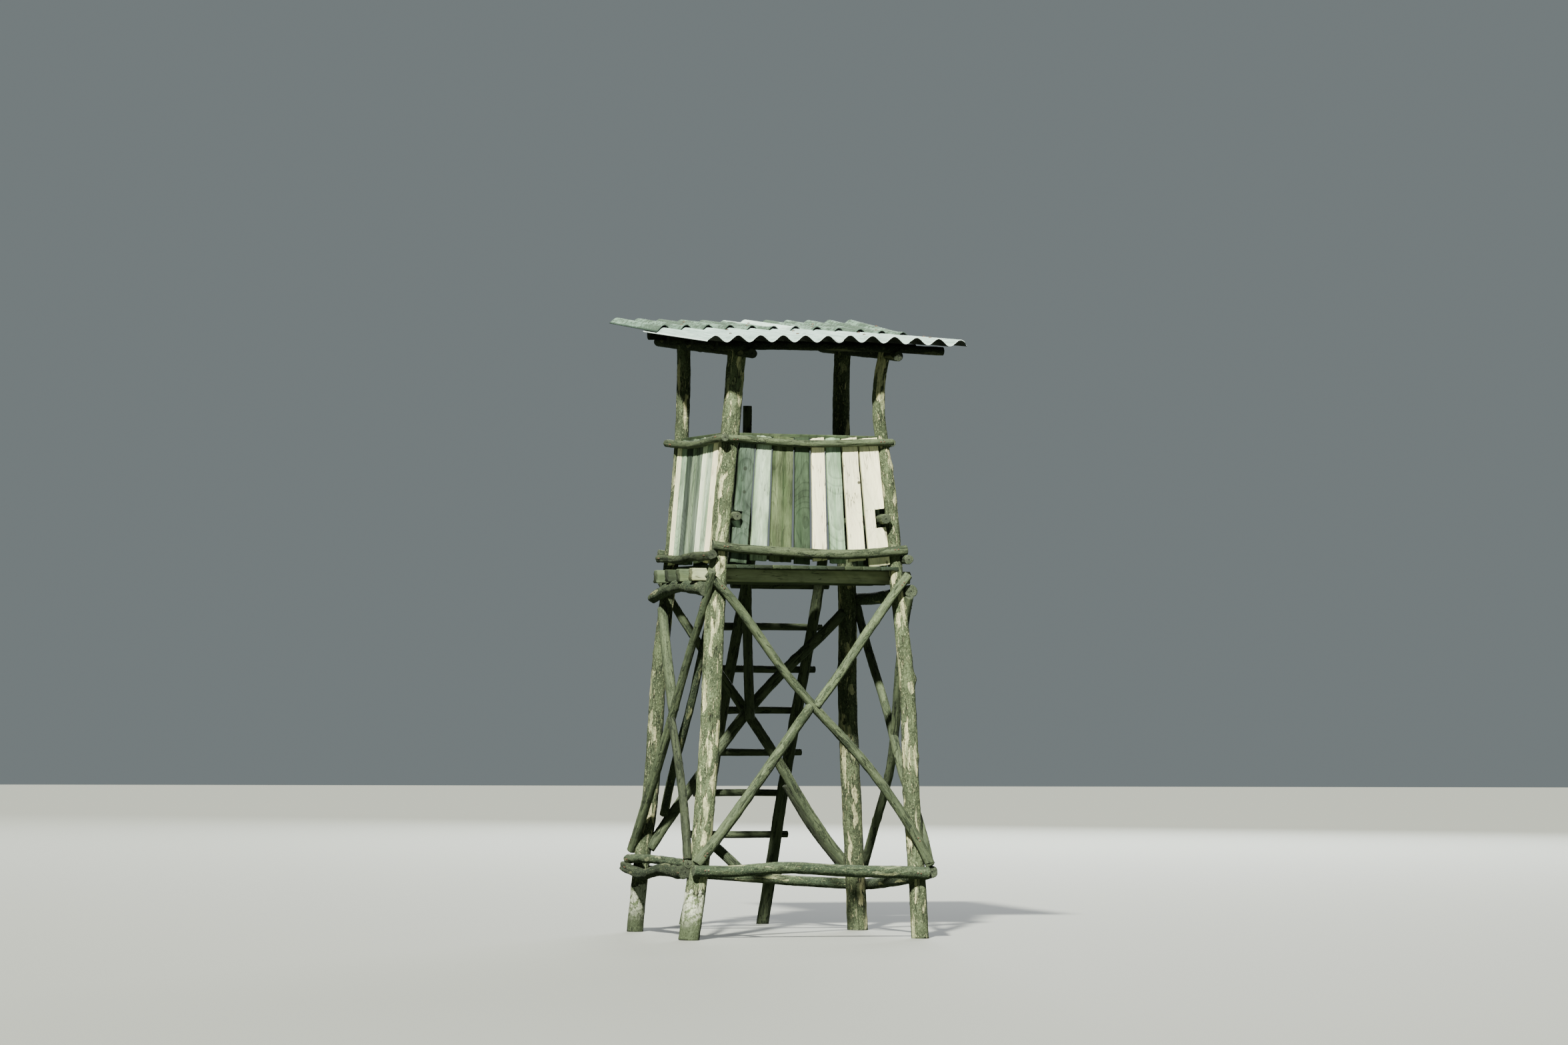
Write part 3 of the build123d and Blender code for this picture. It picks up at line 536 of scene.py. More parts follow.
def logMaterial(name, look):
    # weathered round wood: bark in greys, streaks where it is off with a dark rim, pits, fibres and splits,
    # knots, pale feet below a ragged line, and rings on the cut ends
    material, tree = newMaterial(name)
    coord = attribute(tree, "logCoord")
    knots, cut, tone = channels(attribute(tree, "logMark"))
    inward, splits, streaks = channels(attribute(tree, "logReach"))
    weather = useGroup(weathering, coord, look["patchScale"], look["patchStretch"])
    fibre = useGroup(woodFibre, coord, look["fibreScale"], look["crackScale"])
    peel = useGroup(barkPeel, coord, streaks, look["peelLevel"], look["ragScale"])
    pits = useGroup(woodPits, coord, look["pitScale"])[0]
    flakes = between(noise(drawn(coord, 0.6), 85.0, 5.0, 0.7, 0.4), 0.53, 0.60)
    bark = mixed(weather[0], look["grey"], look["pale"])
    bark = over(bark, look["bloom"], weather[1], look["bloomShare"])
    bark = over(bark, look["dark"], weather[2], look["speckShare"])
    bark = over(bark, look["flake"], flakes, look["flakeShare"])
    bare = mixed(between(noise(drawn(coord, 0.12), 38.0, 3.0), 0.35, 0.65), look["bare"], look["bareGrey"])
    colour = over(mixed(peel[0], bark, bare), look["dark"], peel[1], look["rimShare"])
    if "foot" in look:
        x, y, z = channels(objectPlace(tree))
        above = minus(scaled(noise(coord, 20.0, 5.0, 0.65), look["footRag"], z), look["footLevel"])
        leftward = between(x, 0.1, -0.1)
        foot = mixed(between(noise(coord, 26.0, 5.0, 0.65), 0.46, 0.58), look["foot"], look["pale"])
        foot = over(foot, look["grey"], between(z, *look["soil"]))
        colour = over(colour, foot, between(above, 0.006, 0.0), leftward)
        colour = over(colour, look["dark"], between(maths("ABSOLUTE", above), 0.010, 0.0), leftward)
    streak = scaled(fibre[0], look["streak"], 1.0 - look["streak"] / 2)
    colour = tinted(colour, greyOf(product(tone, streak)))
    gone = highest(product(fibre[1], 0.85), between(splits, 0.45, 0.95), product(pits, 0.9), product(knots, 0.65))
    colour = over(colour, look["dark"], gone)
    # rings on the cut ends
    wobble = product(noise(coord, 25.0, 2.0), 0.006)
    ring = maths("SINE", product(maths("ADD", inward, wobble), look["ringCount"]))
    ends = tinted(look["end"], greyOf(scaled(ring, 0.14, 0.84)))
    ends = over(ends, look["bloom"], weather[1], 0.6)
    ends = over(tinted(ends, greyOf(tone)), look["dark"], between(inward, look["pith"], 0.0))
    colour = over(colour, ends, cut)
    height = scaled(noise(coord, 45.0, 5.0, 0.65), look["lumpShare"], fibre[2])
    for mask, share in ((peel[0], -0.5), (pits, -0.6), (flakes, 0.35)):
        height = scaled(mask, share, height)
    return surfaced(material, colour, scaled(peel[0], -0.14, 0.93), height, 0.9, look["bump"], dullShine)


splitLook = {"perMetre": 3, "long": (0.06, 0.26), "wide": (0.004, 0.006), "wander": 0.06, "deep": 0.005}
postLook = {"rowStep": 0.0145, "cols": 56, "lobes": 0.02, "ridges": 0.0034, "lumps": 0.0024, "fine": 0.0012,
            "knotsPerMetre": 2.2, "splits": splitLook,
            "peels": {"perMetre": 13, "long": (0.04, 0.17), "wide": (0.008, 0.022), "wander": 0.12, "deep": 0.0022}}
logLook = {"rowStep": 0.013, "cols": 38, "lobes": 0.025, "ridges": 0.0022, "lumps": 0.0016, "fine": 0.0008,
           "knotsPerMetre": 2.6, "splits": splitLook,
           "peels": {"perMetre": 7, "long": (0.03, 0.15), "wide": (0.006, 0.016), "wander": 0.15, "deep": 0.0012}}
rungLook = {**logLook, "rowStep": 0.014, "cols": 28, "lobes": 0.015, "ridges": 0.001, "lumps": 0.0008,
            "fine": 0.0004, "knotsPerMetre": 1.5}

barkLook = {
    "grey": (0.060, 0.080, 0.042), "pale": (0.125, 0.163, 0.085), "bloom": (0.028, 0.042, 0.023),
    "dark": (0.005, 0.007, 0.005), "end": (0.083, 0.104, 0.066), "bare": (0.56, 0.55, 0.31),
    "bareGrey": (0.185, 0.225, 0.122), "patchScale": 12.0, "patchStretch": 0.35, "fibreScale": 150.0,
    "crackScale": 30.0, "bloomShare": 0.7, "streak": 0.85, "speckShare": 0.7, "lumpShare": 1.5, "bump": 0.010,
    "peelLevel": 0.60, "ragScale": 55.0, "rimShare": 0.75, "pitScale": 90.0, "flake": (0.235, 0.285, 0.155),
    "flakeShare": 0.85, "ringCount": 1500.0, "pith": 0.012}
barkPost = logMaterial("weatheredPosts", {**barkLook, "foot": (0.47, 0.51, 0.39), "footLevel": 0.44,
                                         "footRag": 0.16, "soil": (0.26, 0.06)})
barkLog = logMaterial("weatheredBark", {
    **barkLook, "grey": (0.036, 0.056, 0.033), "pale": (0.072, 0.100, 0.056), "peelLevel": 0.68,
    "bare": (0.30, 0.32, 0.17), "bareGrey": (0.10, 0.13, 0.075), "flakeShare": 0.5})
bareLog = logMaterial("weatheredBareWood", {
    **barkLook, "grey": (0.027, 0.040, 0.022), "pale": (0.046, 0.064, 0.035),
    "bare": (0.086, 0.112, 0.060), "bareGrey": (0.050, 0.068, 0.038), "patchScale": 6.0,
    "patchStretch": 0.2, "fibreScale": 170.0, "crackScale": 36.0, "speckShare": 0.5, "lumpShare": 0.6,
    "bump": 0.005, "peelLevel": 0.42, "ragScale": 30.0, "rimShare": 0.4, "pitScale": 60.0,
    "flake": (0.135, 0.165, 0.090), "flakeShare": 0.55})

postNodes = ["post_front_left", "post_front_right", "post_back_left", "post_back_right"]
lowNodes = ["front_sill_log", "left_sill_log", "left_upper_sill_log", "right_sill_log", "back_sill_log",
            "left_floor_beam", "right_floor_beam"]
barkNodes = [*lowNodes, "rafters", "purlins", "left_inner_brace"]
railNodes = [f"{side}_{level}_rail" for level in ("bottom", "top") for side in ("front", "left", "right", "back")]
bareNodes = ["front_through_brace", "front_lower_brace", "front_upper_brace", "left_through_brace",
             "left_upper_brace", "left_lower_brace", "right_through_brace", "right_cross_brace",
             "back_rising_brace", "back_falling_brace", "back_falling_branch", "corner_knee_brace",
             *railNodes, "entrance_post", "seat_logs", "ladder_rails", "ladder_rungs"]

# what sets single logs apart: their tone, their roughness, and knots as (share of the length, turn, width, height)
ownTones = {
    "post_front_left": 1.1, "post_front_right": 0.98, "post_back_left": 0.8, "post_back_right": 0.75,
    "front_through_brace": 1.0, "front_lower_brace": 1.1, "front_upper_brace": 1.2, "left_lower_brace": 0.44,
    "left_upper_brace": 0.85, "left_through_brace": 1.0, "left_inner_brace": 0.8, "corner_knee_brace": 0.8,
    "back_falling_branch": 0.3, "front_top_rail": 1.05, "left_top_rail": 0.95, "front_bottom_rail": 0.85,
    "left_bottom_rail": 0.6, "left_floor_beam": 0.8, "left_sill_log": 0.55, "left_upper_sill_log": 1.0,
    "front_sill_log": 1.1, "rafters": 0.5, "purlins": 0.35, "ladder_rails": 0.8, "ladder_rungs": 0.8}
ownShapes = {
    "post_front_right": {"bumps": [(0.44, 4.4, 0.5, 0.34), (0.8, 4.4, 0.5, 0.2)]},
    "front_top_rail": {"bumps": [(0.3, 3.0, 0.7, 0.3)]}, "front_sill_log": {"bumps": [(0.36, 0.0, 1.0, 0.14)]},
    "left_bottom_rail": {"lumps": 0.004, "ridges": 0.004}, "left_floor_beam": {"lumps": 0.004, "ridges": 0.005},
    "left_sill_log": {"lumps": 0.006, "ridges": 0.007}, "left_upper_sill_log": {"lumps": 0.003, "ridges": 0.003}}

spines = {}
seed = 100  # goes up by one for each log, board, sheet and set of nails
for node in postNodes + barkNodes + bareNodes:
    look = postLook if node in postNodes else rungLook if node == "ladder_rungs" else logLook
    look = {**look, "tone": ownTones.get(node), **ownShapes.get(node, {})}
    material = barkPost if node in postNodes else barkLog if node in barkNodes else bareLog
    spines[node] = [spineOf(*solid) for solid in solidsOf(node)]
    parts = []
    for spine in spines[node]:
        seed += 1
        parts.append(roundLog(spine, look, seed))
    finished(makeMesh(pieceName(node), *joinParts(parts)), material, node)
print("logs dressed:", len(spines))


# Sawn boards, joists and planks

# how a board's edges are read: the number of levels, and how far in metres a notch has to lie in to be left out
boardRead = {"slices": 13, "slack": 0.0008}


def boardOf(points, corners, outward):
    # a board's own axes from the areas of its faces, and straight lines for its two edges
    a, b, c = (points[corners[:, k]] for k in range(3))
    normals = np.cross(b - a, c - a)
    areas = np.linalg.norm(normals, axis=1)
    normals = normals / np.maximum(areas, 1e-12)[:, None]
    vectors = np.linalg.eigh((normals * areas[:, None]).T @ normals)[1]
    length, normal = vectors[:, 0], vectors[:, 2]
    length = length * np.sign(length[np.abs(length).argmax()])
    normal = normal * (np.sign(normal @ np.array(outward)) or 1)
    width = np.cross(normal, length)
    local = points @ np.stack([width, normal, length], axis=1)
    low, high = local[:, 2].min(), local[:, 2].max()
    levels = np.linspace(low, high, boardRead["slices"])[1:-1]
    slices = [slicePoints(corners, local[:, 2], local[:, 0, None], level) for level in levels]
    sides = []
    for sign in (-1, 1):
        reach = np.array([(sign * across).max() for across in slices])
        kept = np.ones(len(reach), bool)
        for again in range(4):
            line = np.polyfit(levels[kept], reach[kept], 1)
            kept = reach > np.polyval(line, levels) - boardRead["slack"]
        sides.append(line)
    return {"axes": np.stack([width, normal, length]), "low": low, "high": high, "sides": sides,
            "back": local[:, 1].min(), "face": local[:, 1].max()}


def boardRing(columns, rim):
    # a rounded rectangle as four rows of numbers: x = px * (half - rim) + qx * rim, and y likewise
    run, short = np.linspace(1, -1, columns), np.linspace(1, -1, 3)
    one, three = np.ones(columns), np.ones(3)
    half = [(run, 0 * one, one, one), ([-1], [-0.7], [1], [0.7]), (-three, -three, short, 0 * three),
            ([-1], [-0.7], [-1], [-0.7])]
    half = [np.concatenate([part[k] for part in half]) for k in range(4)]
    return [np.concatenate([values, -values]) for values in half]


def sawnBoard(board, look, seed, tone, cuts=()):
    # a board: a rounded rectangle carried along its length, its edges a little wavy, its face cupped and its
    # ends cut askew; cuts are notches in one edge as (side, from, to, depth) along the length
    rng = np.random.default_rng(seed)
    rim = look["rim"]
    px, qx, py, qy = boardRing(look["columns"], rim)
    low, high = board["low"], board["high"]
    levels = np.linspace(low, high, max(10, int((high - low) / look["rowStep"])))
    for side, begin, finish, depth in cuts:
        levels = np.concatenate([levels, [begin - 0.0005, begin + 0.0005, finish - 0.0005, finish + 0.0005]])
    levels = np.sort(levels)
    share = (levels - low) / (high - low)
    reaches = []
    for k, line in enumerate(board["sides"]):
        wave = np.interp(share, np.linspace(0, 1, 9), rng.uniform(-1, 0.2, 9)) * look["wave"]
        reach = np.polyval(line, levels) + wave
        for side, begin, finish, depth in cuts:
            if side == k:
                reach = reach - depth * ((levels > begin) & (levels < finish))
        reaches.append(reach)
    middle, half = (reaches[1] - reaches[0]) / 2, (reaches[1] + reaches[0]) / 2
    thick = (board["face"] - board["back"]) / 2
    x = px[None] * (half[:, None] - rim) + qx[None] * rim
    y = (py * (thick - rim) + qy * rim)[None] + 0 * x
    wide = half.max()
    cup = look["cup"] * rng.uniform(-1, 1)
    y = y + cup * ((x / wide) ** 2 - 0.5) + look["bend"] * rng.uniform(-1, 1) * np.sin(np.pi * share)[:, None]
    relief = np.interp(px * wide, np.linspace(-wide, wide, 15), rng.uniform(-1, 1, 15)) * look["relief"]
    y = y + relief[None] * py[None]
    ends = []
    for k in range(2):
        ragged = np.interp(px, np.linspace(-1, 1, 8), rng.uniform(-1, 1, 8)) * look["ragged"]
        ends.append(ragged + px * look["askew"] * rng.uniform(-1, 1))
    z = levels[:, None] + ends[0][None] * (1 - share[:, None]) ** 12 + ends[1][None] * share[:, None] ** 12
    x = x + middle[:, None]
    inner = 1 - rim / thick
    capX = middle[[0, -1], None] + (x[[0, -1]] - middle[[0, -1], None]) * (1 - rim / wide)
    capY = y[[0, -1]] * inner
    capZ = z[[0, -1]].copy()
    z[0] += rim
    z[-1] -= rim
    x, y, z = (np.concatenate([cap[:1], body, cap[1:]]) for cap, body in ((capX, x), (capY, y), (capZ, z)))
    local = np.stack([x, y + (board["face"] + board["back"]) / 2, z], axis=2)
    tips = np.stack([local[0].mean(axis=0), local[-1].mean(axis=0)])
    coord = perPoint(x, y, z, tips) + rng.uniform(-40, 40, 3)
    rimNear = np.pad(np.abs(x[1:-1] - middle[:, None]) / half[:, None], ((1, 1), (0, 0)))
    cut = np.pad(0 * share, 1, constant_values=1)[:, None]
    mark = perPoint(rimNear, np.minimum(z - low, high - z), cut, [[0, 0, 1], [0, 0, 1]])
    colour = np.tile((*tone, 1), (len(mark), 1))
    return {"grid": local @ board["axes"], "tips": tips @ board["axes"],
            "extra": {"boardCoord": coord, "boardMark": mark, "boardTone": colour}}


def boardMaterial(name, look):
    # weathered board: its own tone, figure lines, fibres and cracks, stains down the length, dark ends and edges
    material, tree = newMaterial(name)
    coord, tone = attribute(tree, "boardCoord"), attribute(tree, "boardTone", "Color")
    rimNear, endNear, cut = channels(attribute(tree, "boardMark"))
    weather = useGroup(weathering, coord, look["patchScale"], 0.16)
    fibre = useGroup(woodFibre, coord, 260.0, look["crackScale"])
    figure = useGroup(boardFigure, coord, look["ringGap"], look["pithDepth"], 0.03)
    # dull boards show their figure and stains more than pale ones
    dull = maths("SUBTRACT", 1.1, add("ShaderNodeSeparateColor", {0: tone}).outputs[0], clamp=True)
    line = product(between(figure[0], 0.62, 0.98), scaled(dull, 0.8, 0.2))
    shade = minus(1.0, product(line, look["figure"]))
    streak = scaled(figure[1], look["streak"], 1.0 - look["streak"] / 2)
    blotch = minus(noise(drawn(coord, 0.3), 13.0, 5.0, 0.6), 0.5)
    mottle = highest(scaled(blotch, product(dull, look["mottle"]), 1.0), 0.2)
    colour = tinted(tone, greyOf(product(shade, streak, mottle)))
    colour = stained(colour, look["stain"], weather[1], dull, look["stainShare"])
    colour = stained(colour, look["bleach"], weather[0], look["bleachShare"])
    bands = between(noise(drawn(coord, 0.07), 17.0, 4.0, 0.6, 0.3), 0.46, 0.66)
    colour = stained(colour, look["band"], bands, dull, look["bandShare"])
    worn = highest(between(rimNear, 0.9, 1.0), between(endNear, 0.09, 0.0))
    colour = stained(colour, look["edge"], worn, look["edgeShare"])
    colour = over(colour, look["dark"], fibre[1], 0.8)
    # knots: sparse cells drawn out along the grain, and single ones as (x, z, radius, depth)
    size, rare = look["knotSize"], between(noise(coord, 3.1, 1.0), 0.5, 0.58)
    knot = product(between(cells(drawn(coord, 0.55), look["knotScale"]), size, size * 0.4), rare)
    if "knots" in look:
        x, y, z = channels(objectPlace(tree))
        flat = add("ShaderNodeCombineXYZ", {0: x, 2: z}).outputs[0]
        for across, high, radius, depth in look["knots"]:
            links = {0: flat, 1: (across, 0.0, high)}
            away = add("ShaderNodeVectorMath", links, operation="DISTANCE").outputs["Value"]
            knot = highest(knot, product(between(away, radius, radius * 0.55), depth))
    colour = over(colour, look["knot"], knot, 0.9)
    colour = over(colour, look["dark"], cut, 0.6)
    height = scaled(line, -0.35, fibre[2])
    return surfaced(material, colour, scaled(streak, -0.1, 0.95), height, 0.8, 0.0016, dullShine)


greyLook = {
    "patchScale": 4.0, "crackScale": 30.0, "ringGap": 0.006, "pithDepth": 0.05, "figure": 0.3, "streak": 0.7,
    "mottle": 2.0, "stain": (0.38, 0.48, 0.36), "stainShare": 0.9, "bleach": (1.35, 1.3, 1.25), "bleachShare": 0.6,
    "band": (0.42, 0.52, 0.42), "bandShare": 0.9, "edge": (0.35, 0.4, 0.3), "edgeShare": 0.7,
    "dark": (0.018, 0.025, 0.015), "knot": (0.03, 0.032, 0.018), "knotScale": 6.0, "knotSize": 0.10}
paleBoard = boardMaterial("paleBoards", {
    **greyLook, "ringGap": 0.007, "streak": 0.75, "mottle": 2.8, "stain": (0.40, 0.48, 0.38), "stainShare": 0.95,
    "band": (0.42, 0.50, 0.42), "bandShare": 1.0, "edge": (0.40, 0.44, 0.33), "dark": (0.02, 0.028, 0.016),
    "knot": (0.012, 0.014, 0.008),
    "knots": ((0.345, 3.435, 0.016, 1.0), (-0.5645, 3.522, 0.020, 0.75), (-0.5735, 3.346, 0.017, 0.7))})
greyBoard = boardMaterial("greyBoards", greyLook)
beamTimber = boardMaterial("squaredTimber", {
    **greyLook, "patchScale": 5.0, "crackScale": 26.0, "ringGap": 0.011, "pithDepth": 0.06, "figure": 0.1,
    "streak": 0.5, "mottle": 1.5, "stain": (0.35, 0.4, 0.28), "stainShare": 0.6, "bleach": (1.5, 1.4, 1.2),
    "band": (0.5, 0.55, 0.45), "bandShare": 0.6, "edge": (0.5, 0.5, 0.4), "edgeShare": 0.4,
    "dark": (0.012, 0.016, 0.010), "knot": (0.02, 0.02, 0.012), "knotScale": 5.0})

boardLook = {"rim": 0.002, "columns": 13, "rowStep": 0.03, "wave": 0.0025, "cup": 0.0016, "bend": 0.0008,
             "relief": 0.0004, "ragged": 0.004, "askew": 0.005}
beamLook = {**boardLook, "rim": 0.007, "columns": 9, "cup": 0.0, "bend": 0.0, "relief": 0.0015, "wave": 0.004}

toneList = {
    "slate": (0.075, 0.112, 0.082), "frost": (0.416, 0.541, 0.409), "olive": (0.116, 0.149, 0.077),
    "moss": (0.045, 0.074, 0.042), "cream": (0.971, 0.925, 0.641), "mist": (0.318, 0.450, 0.312),
    "straw": (0.904, 0.891, 0.614), "chalk": (0.755, 0.861, 0.663), "timber": (0.096, 0.129, 0.077),
    "dusk": (0.041, 0.057, 0.034), "sage": (0.20, 0.27, 0.18), "pewter": (0.15, 0.20, 0.155),
    "iron": (0.070, 0.092, 0.080), "paintedSunGirder": (0.30, 0.34, 0.21)}
# the boarded pieces: which way they face, where their nails are as shares of the length, the tones from left to
# right as seen from outside, and the notches that let the seat logs out, as (side, from, to, depth) in metres
upward = {"out": (0, 0, 1), "nails": (0.1, 0.5, 0.9)}
side = {"nails": (0.12, 0.96), "slot": "side_board"}
beam = {"out": (0, -1, 0), "nails": (), "slot": "squared_timber"}
wallList = {
    "front_wall_boards": {**side, "out": (0, -1, 0), "slot": "front_board",
                          "cuts": {0: (1, 3.075, 3.20, 0.062), 7: (0, 3.095, 3.235, 0.078)},
                          "tones": ["slate", "frost", "olive", "moss", "cream", "mist", "straw", "straw"]},
    "left_wall_boards": {**side, "out": (-1, 0, 0),
                         "tones": ["straw", "mist", "iron", "sage", "pewter", "chalk", "frost", "cream"]},
    "right_wall_boards": {**side, "out": (1, 0, 0),
                          "tones": ["mist", "olive", "frost", "slate", "straw", "moss", "frost", "slate"]},
    "back_wall_boards": {**side, "out": (0, 1, 0), "tones": ["slate", "frost", "olive", "mist"]},
    "front_plank": {**upward, "slot": "front_board", "tones": ["timber"]},
    "side_planks": {**upward, "slot": "side_board", "tones": ["timber", "slate"]},
    "floor_boards": {**upward, "slot": "floor_board", "tones": ["timber", "slate", "dusk", "olive"]},
    # the front floor beam is toned paler than its wood: painted sunlight on a beam that lies in the boards' shadow
    "front_floor_beam": {**beam, "tones": ["paintedSunGirder"]},
    "floor_joists": {**beam, "tones": ["timber", "dusk", "timber"]}}

boardFits = []
for node, wall in wallList.items():
    upright = wall["out"][2] == 0
    rightward = np.cross([0, 0, 1], wall["out"]) if upright else np.array([1.0, 0, 0])
    solids = sorted(solidsOf(node), key=lambda solid: float(solid[0].mean(axis=0) @ rightward))
    look = beamLook if wall["slot"] == "squared_timber" else boardLook
    parts = []
    for index, solid in enumerate(solids):
        board = boardOf(*solid, wall["out"])
        seed += 1
        tone = toneList[wall["tones"][index % len(wall["tones"])]]
        cuts = []
        if index in wall.get("cuts", ()):
            edge, begin, finish, depth = wall["cuts"][index]
            middle, rise = solid[0].mean(axis=0), board["axes"][2][2]
            shift = board["axes"][2] @ middle - middle[2] / rise
            cuts.append((edge, begin / rise + shift, finish / rise + shift, depth))
        parts.append(sawnBoard(board, look, seed, tone, cuts))
        levels = board["low"] + np.array(wall["nails"]) * (board["high"] - board["low"])
        boardFits.append((board, levels, "back" if upright else "face"))
    material = {"front_board": paleBoard, "squared_timber": beamTimber}.get(wall["slot"], greyBoard)
    finished(makeMesh(pieceName(node), *joinParts(parts)), material, node)
print("boards dressed")


# Corrugated roof sheets

def waveTerms(x, pitch):
    return np.stack([np.ones_like(x), x, x * x, np.cos(2 * np.pi * x / pitch), np.sin(2 * np.pi * x / pitch)], axis=1)


def sheetEnd(points, level, pitch):
    # an upright end as z = a + bx + cx^2 + d cos + e sin, fitted twice: for the top line and for the underside
    rim = points[np.abs(points[:, 1] - level) < 1e-4]
    terms = waveTerms(rim[:, 0], pitch)
    above = rim[:, 2] > terms @ np.linalg.lstsq(terms, rim[:, 2], rcond=None)[0]
    lines = [np.linalg.lstsq(terms[side], rim[side, 2], rcond=None)[0] for side in (above, ~above)]
    return rim[:, 0].min(), rim[:, 0].max(), lines


def slabFaces(rows, cols):
    # quads of a closed slab: an upper grid, a lower grid and a strip along the rim
    cell = np.arange(rows * cols).reshape(rows, cols)
    top = np.stack([cell[:-1, :-1], cell[:-1, 1:], cell[1:, 1:], cell[1:, :-1]], axis=2).reshape(-1, 4)
    rim = np.concatenate([cell[0], cell[1:, -1], cell[-1, -2::-1], cell[-2:0:-1, 0]])
    ahead = np.roll(rim, -1)
    side = np.stack([rim + rows * cols, ahead + rows * cols, ahead, rim], axis=1)
    return np.concatenate([top, top[:, ::-1] + rows * cols, side])


def roofSheet(node, material, look, seed):
    # a sheet between two wavy end lines, straight from one to the other; its lower and upper edges are worn back
    # by a noise and by chips, its four edges are a little thinner than the rest, and its crests flare up by
    # flare * crest^2 * exp(-(run / flareReach)^2) at the lower end
    rng = np.random.default_rng(seed)
    points = solidsOf(node)[0][0]
    lowY, highY = points[:, 1].min(), points[:, 1].max()
    left, right, lowLines = sheetEnd(points, lowY, look["pitch"])
    highLines = sheetEnd(points, highY, look["pitch"])[2]
    edge = look["edge"]
    x = np.linspace(left + edge, right - edge, int((right - left) / look["pitch"] * look["colsPerWave"]))
    x = np.concatenate([[left], x, [right]])
    share = np.concatenate([[0, 0.002], np.linspace(0.012, 0.988, look["rows"]), [0.998, 1]])
    worn = []
    for end in range(2):
        wear = np.interp(x, np.linspace(left, right, 90), rng.uniform(0, 1, 90) ** 3) * look["wear"]
        for place, wide, deep in look["chips"] if end == 0 else ():
            wear = wear + deep * np.exp(-((x - place) / wide) ** 4)
        worn.append(wear)
    y = lowY + worn[0] + (highY - lowY - worn[0] - worn[1])[None] * share[:, None]
    t = (y - lowY) / (highY - lowY)
    terms = waveTerms(x, look["pitch"])
    top, low = ((terms @ lowLines[k])[None] * (1 - t) + (terms @ highLines[k])[None] * t for k in range(2))
    full = np.pad(np.ones((len(share) - 2, len(x) - 2)), 1, constant_values=look["edgeThick"])
    middle, half = (top + low) / 2, (top - low) / 2 * full
    wave = terms[:, 3:] @ lowLines[0][3:]
    crest = np.broadcast_to((wave / np.abs(wave).max() * 0.5 + 0.5)[None], y.shape)
    middle = middle + look["flare"] * crest ** 2 * np.exp(-((y - lowY) / look["flareReach"]) ** 2)
    grid = np.concatenate([perPoint(x[None], y, middle + half), perPoint(x[None], y, middle - half)])
    near = np.minimum(y - lowY, np.minimum(x - left, right - x)[None])
    mark = np.concatenate([perPoint(crest, near, upper) for upper in (1, 0)])
    piece = makeMesh(pieceName(node), grid, slabFaces(*y.shape), np.zeros((0, 3), int), {"sheetMark": mark})
    finished(piece, material, node)
    return {"left": left, "right": right, "lowY": lowY, "highY": highY, "lines": (lowLines[0], highLines[0])}


def sheetMaterial(name, look):
    # weathered fibre cement: pale washed crests, dirt in the troughs, fine runs down the slope, moss in clumps,
    # a cleaner band, worn bright edges on the front sheets, a painted shadow along the back sheets' lapped edges,
    # and an underside painted near black as shade
    material, tree = newMaterial(name)
    place = objectPlace(tree)
    crest, edgeNear, upper = channels(attribute(tree, "sheetMark"))
    weather = useGroup(weathering, stretched(place, 1.0, 0.3, 1.0), 6.0, 1.0)
    runs = noise(stretched(place, 1.0, 0.035, 0.3), 70.0, 5.0, 0.6)
    grain = noise(place, 140.0, 4.0, 0.7)
    clumps = noise(stretched(place, 1.0, 0.7, 1.0), 26.0, 6.0, 0.72, 0.3)
    x, soft = channels(place)[0], 0.03
    left, right = look["clean"]
    clean = product(between(x, left, left + soft), between(x, right + soft, right))
    colour = mixed(between(runs, 0.3, 0.7), look["grey"], look["pale"])
    colour = over(colour, look["edge"], clean, 0.85)
    colour = over(colour, look["dirt"], scaled(minus(1.0, crest), 0.8, 0.2), weather[1], look["dirtShare"])
    moss = minus(scaled(weather[0], 0.14, clumps), product(clean, 0.4))
    moss = between(moss, look["mossFrom"], look["mossFrom"] + 0.14)
    mossColour = mixed(between(grain, 0.4, 0.65), look["mossDark"], look["moss"])
    colour = over(colour, mossColour, moss, look["mossShare"])
    specks = between(noise(place, 75.0, 3.0, 0.6), 0.64, 0.7)
    colour = over(colour, look["dirt"], specks, look["speckShare"])
    # near the lower and side edges: worn bright on the front sheets, while on the back sheets this is a dark painted
    # shadow where they lap over the front row
    edgeWearAndLapShadow = between(minus(edgeNear, scaled(grain, 0.010, 0.0)), look["rimWide"], 0.0)
    colour = over(colour, look["rim"], edgeWearAndLapShadow, 0.8)
    # the underside is painted near black: painted shade under the roof
    colour = mixed(upper, look["under"], colour)
    height = maths("ADD", product(moss, 0.8), product(grain, 0.4))
    return surfaced(material, colour, scaled(moss, 0.2, 0.74), height, 0.8, 0.002, {"Specular IOR Level": 0.3})


# under is the colour of the sheets' underside, painted near black as shade
sheetLook = {
    "pale": (0.449, 0.625, 0.559), "grey": (0.269, 0.395, 0.351), "dirt": (0.067, 0.103, 0.086),
    "moss": (0.076, 0.120, 0.082), "mossDark": (0.023, 0.037, 0.025), "edge": (0.569, 0.745, 0.679),
    "under": (0.014, 0.017, 0.015), "dirtShare": 0.4, "mossFrom": 0.66, "mossShare": 0.5, "speckShare": 0.35,
    "clean": (2.0, 2.4), "rim": (0.66, 0.80, 0.76), "rimWide": 0.004}
frontSheets = sheetMaterial("frontSheets", sheetLook)
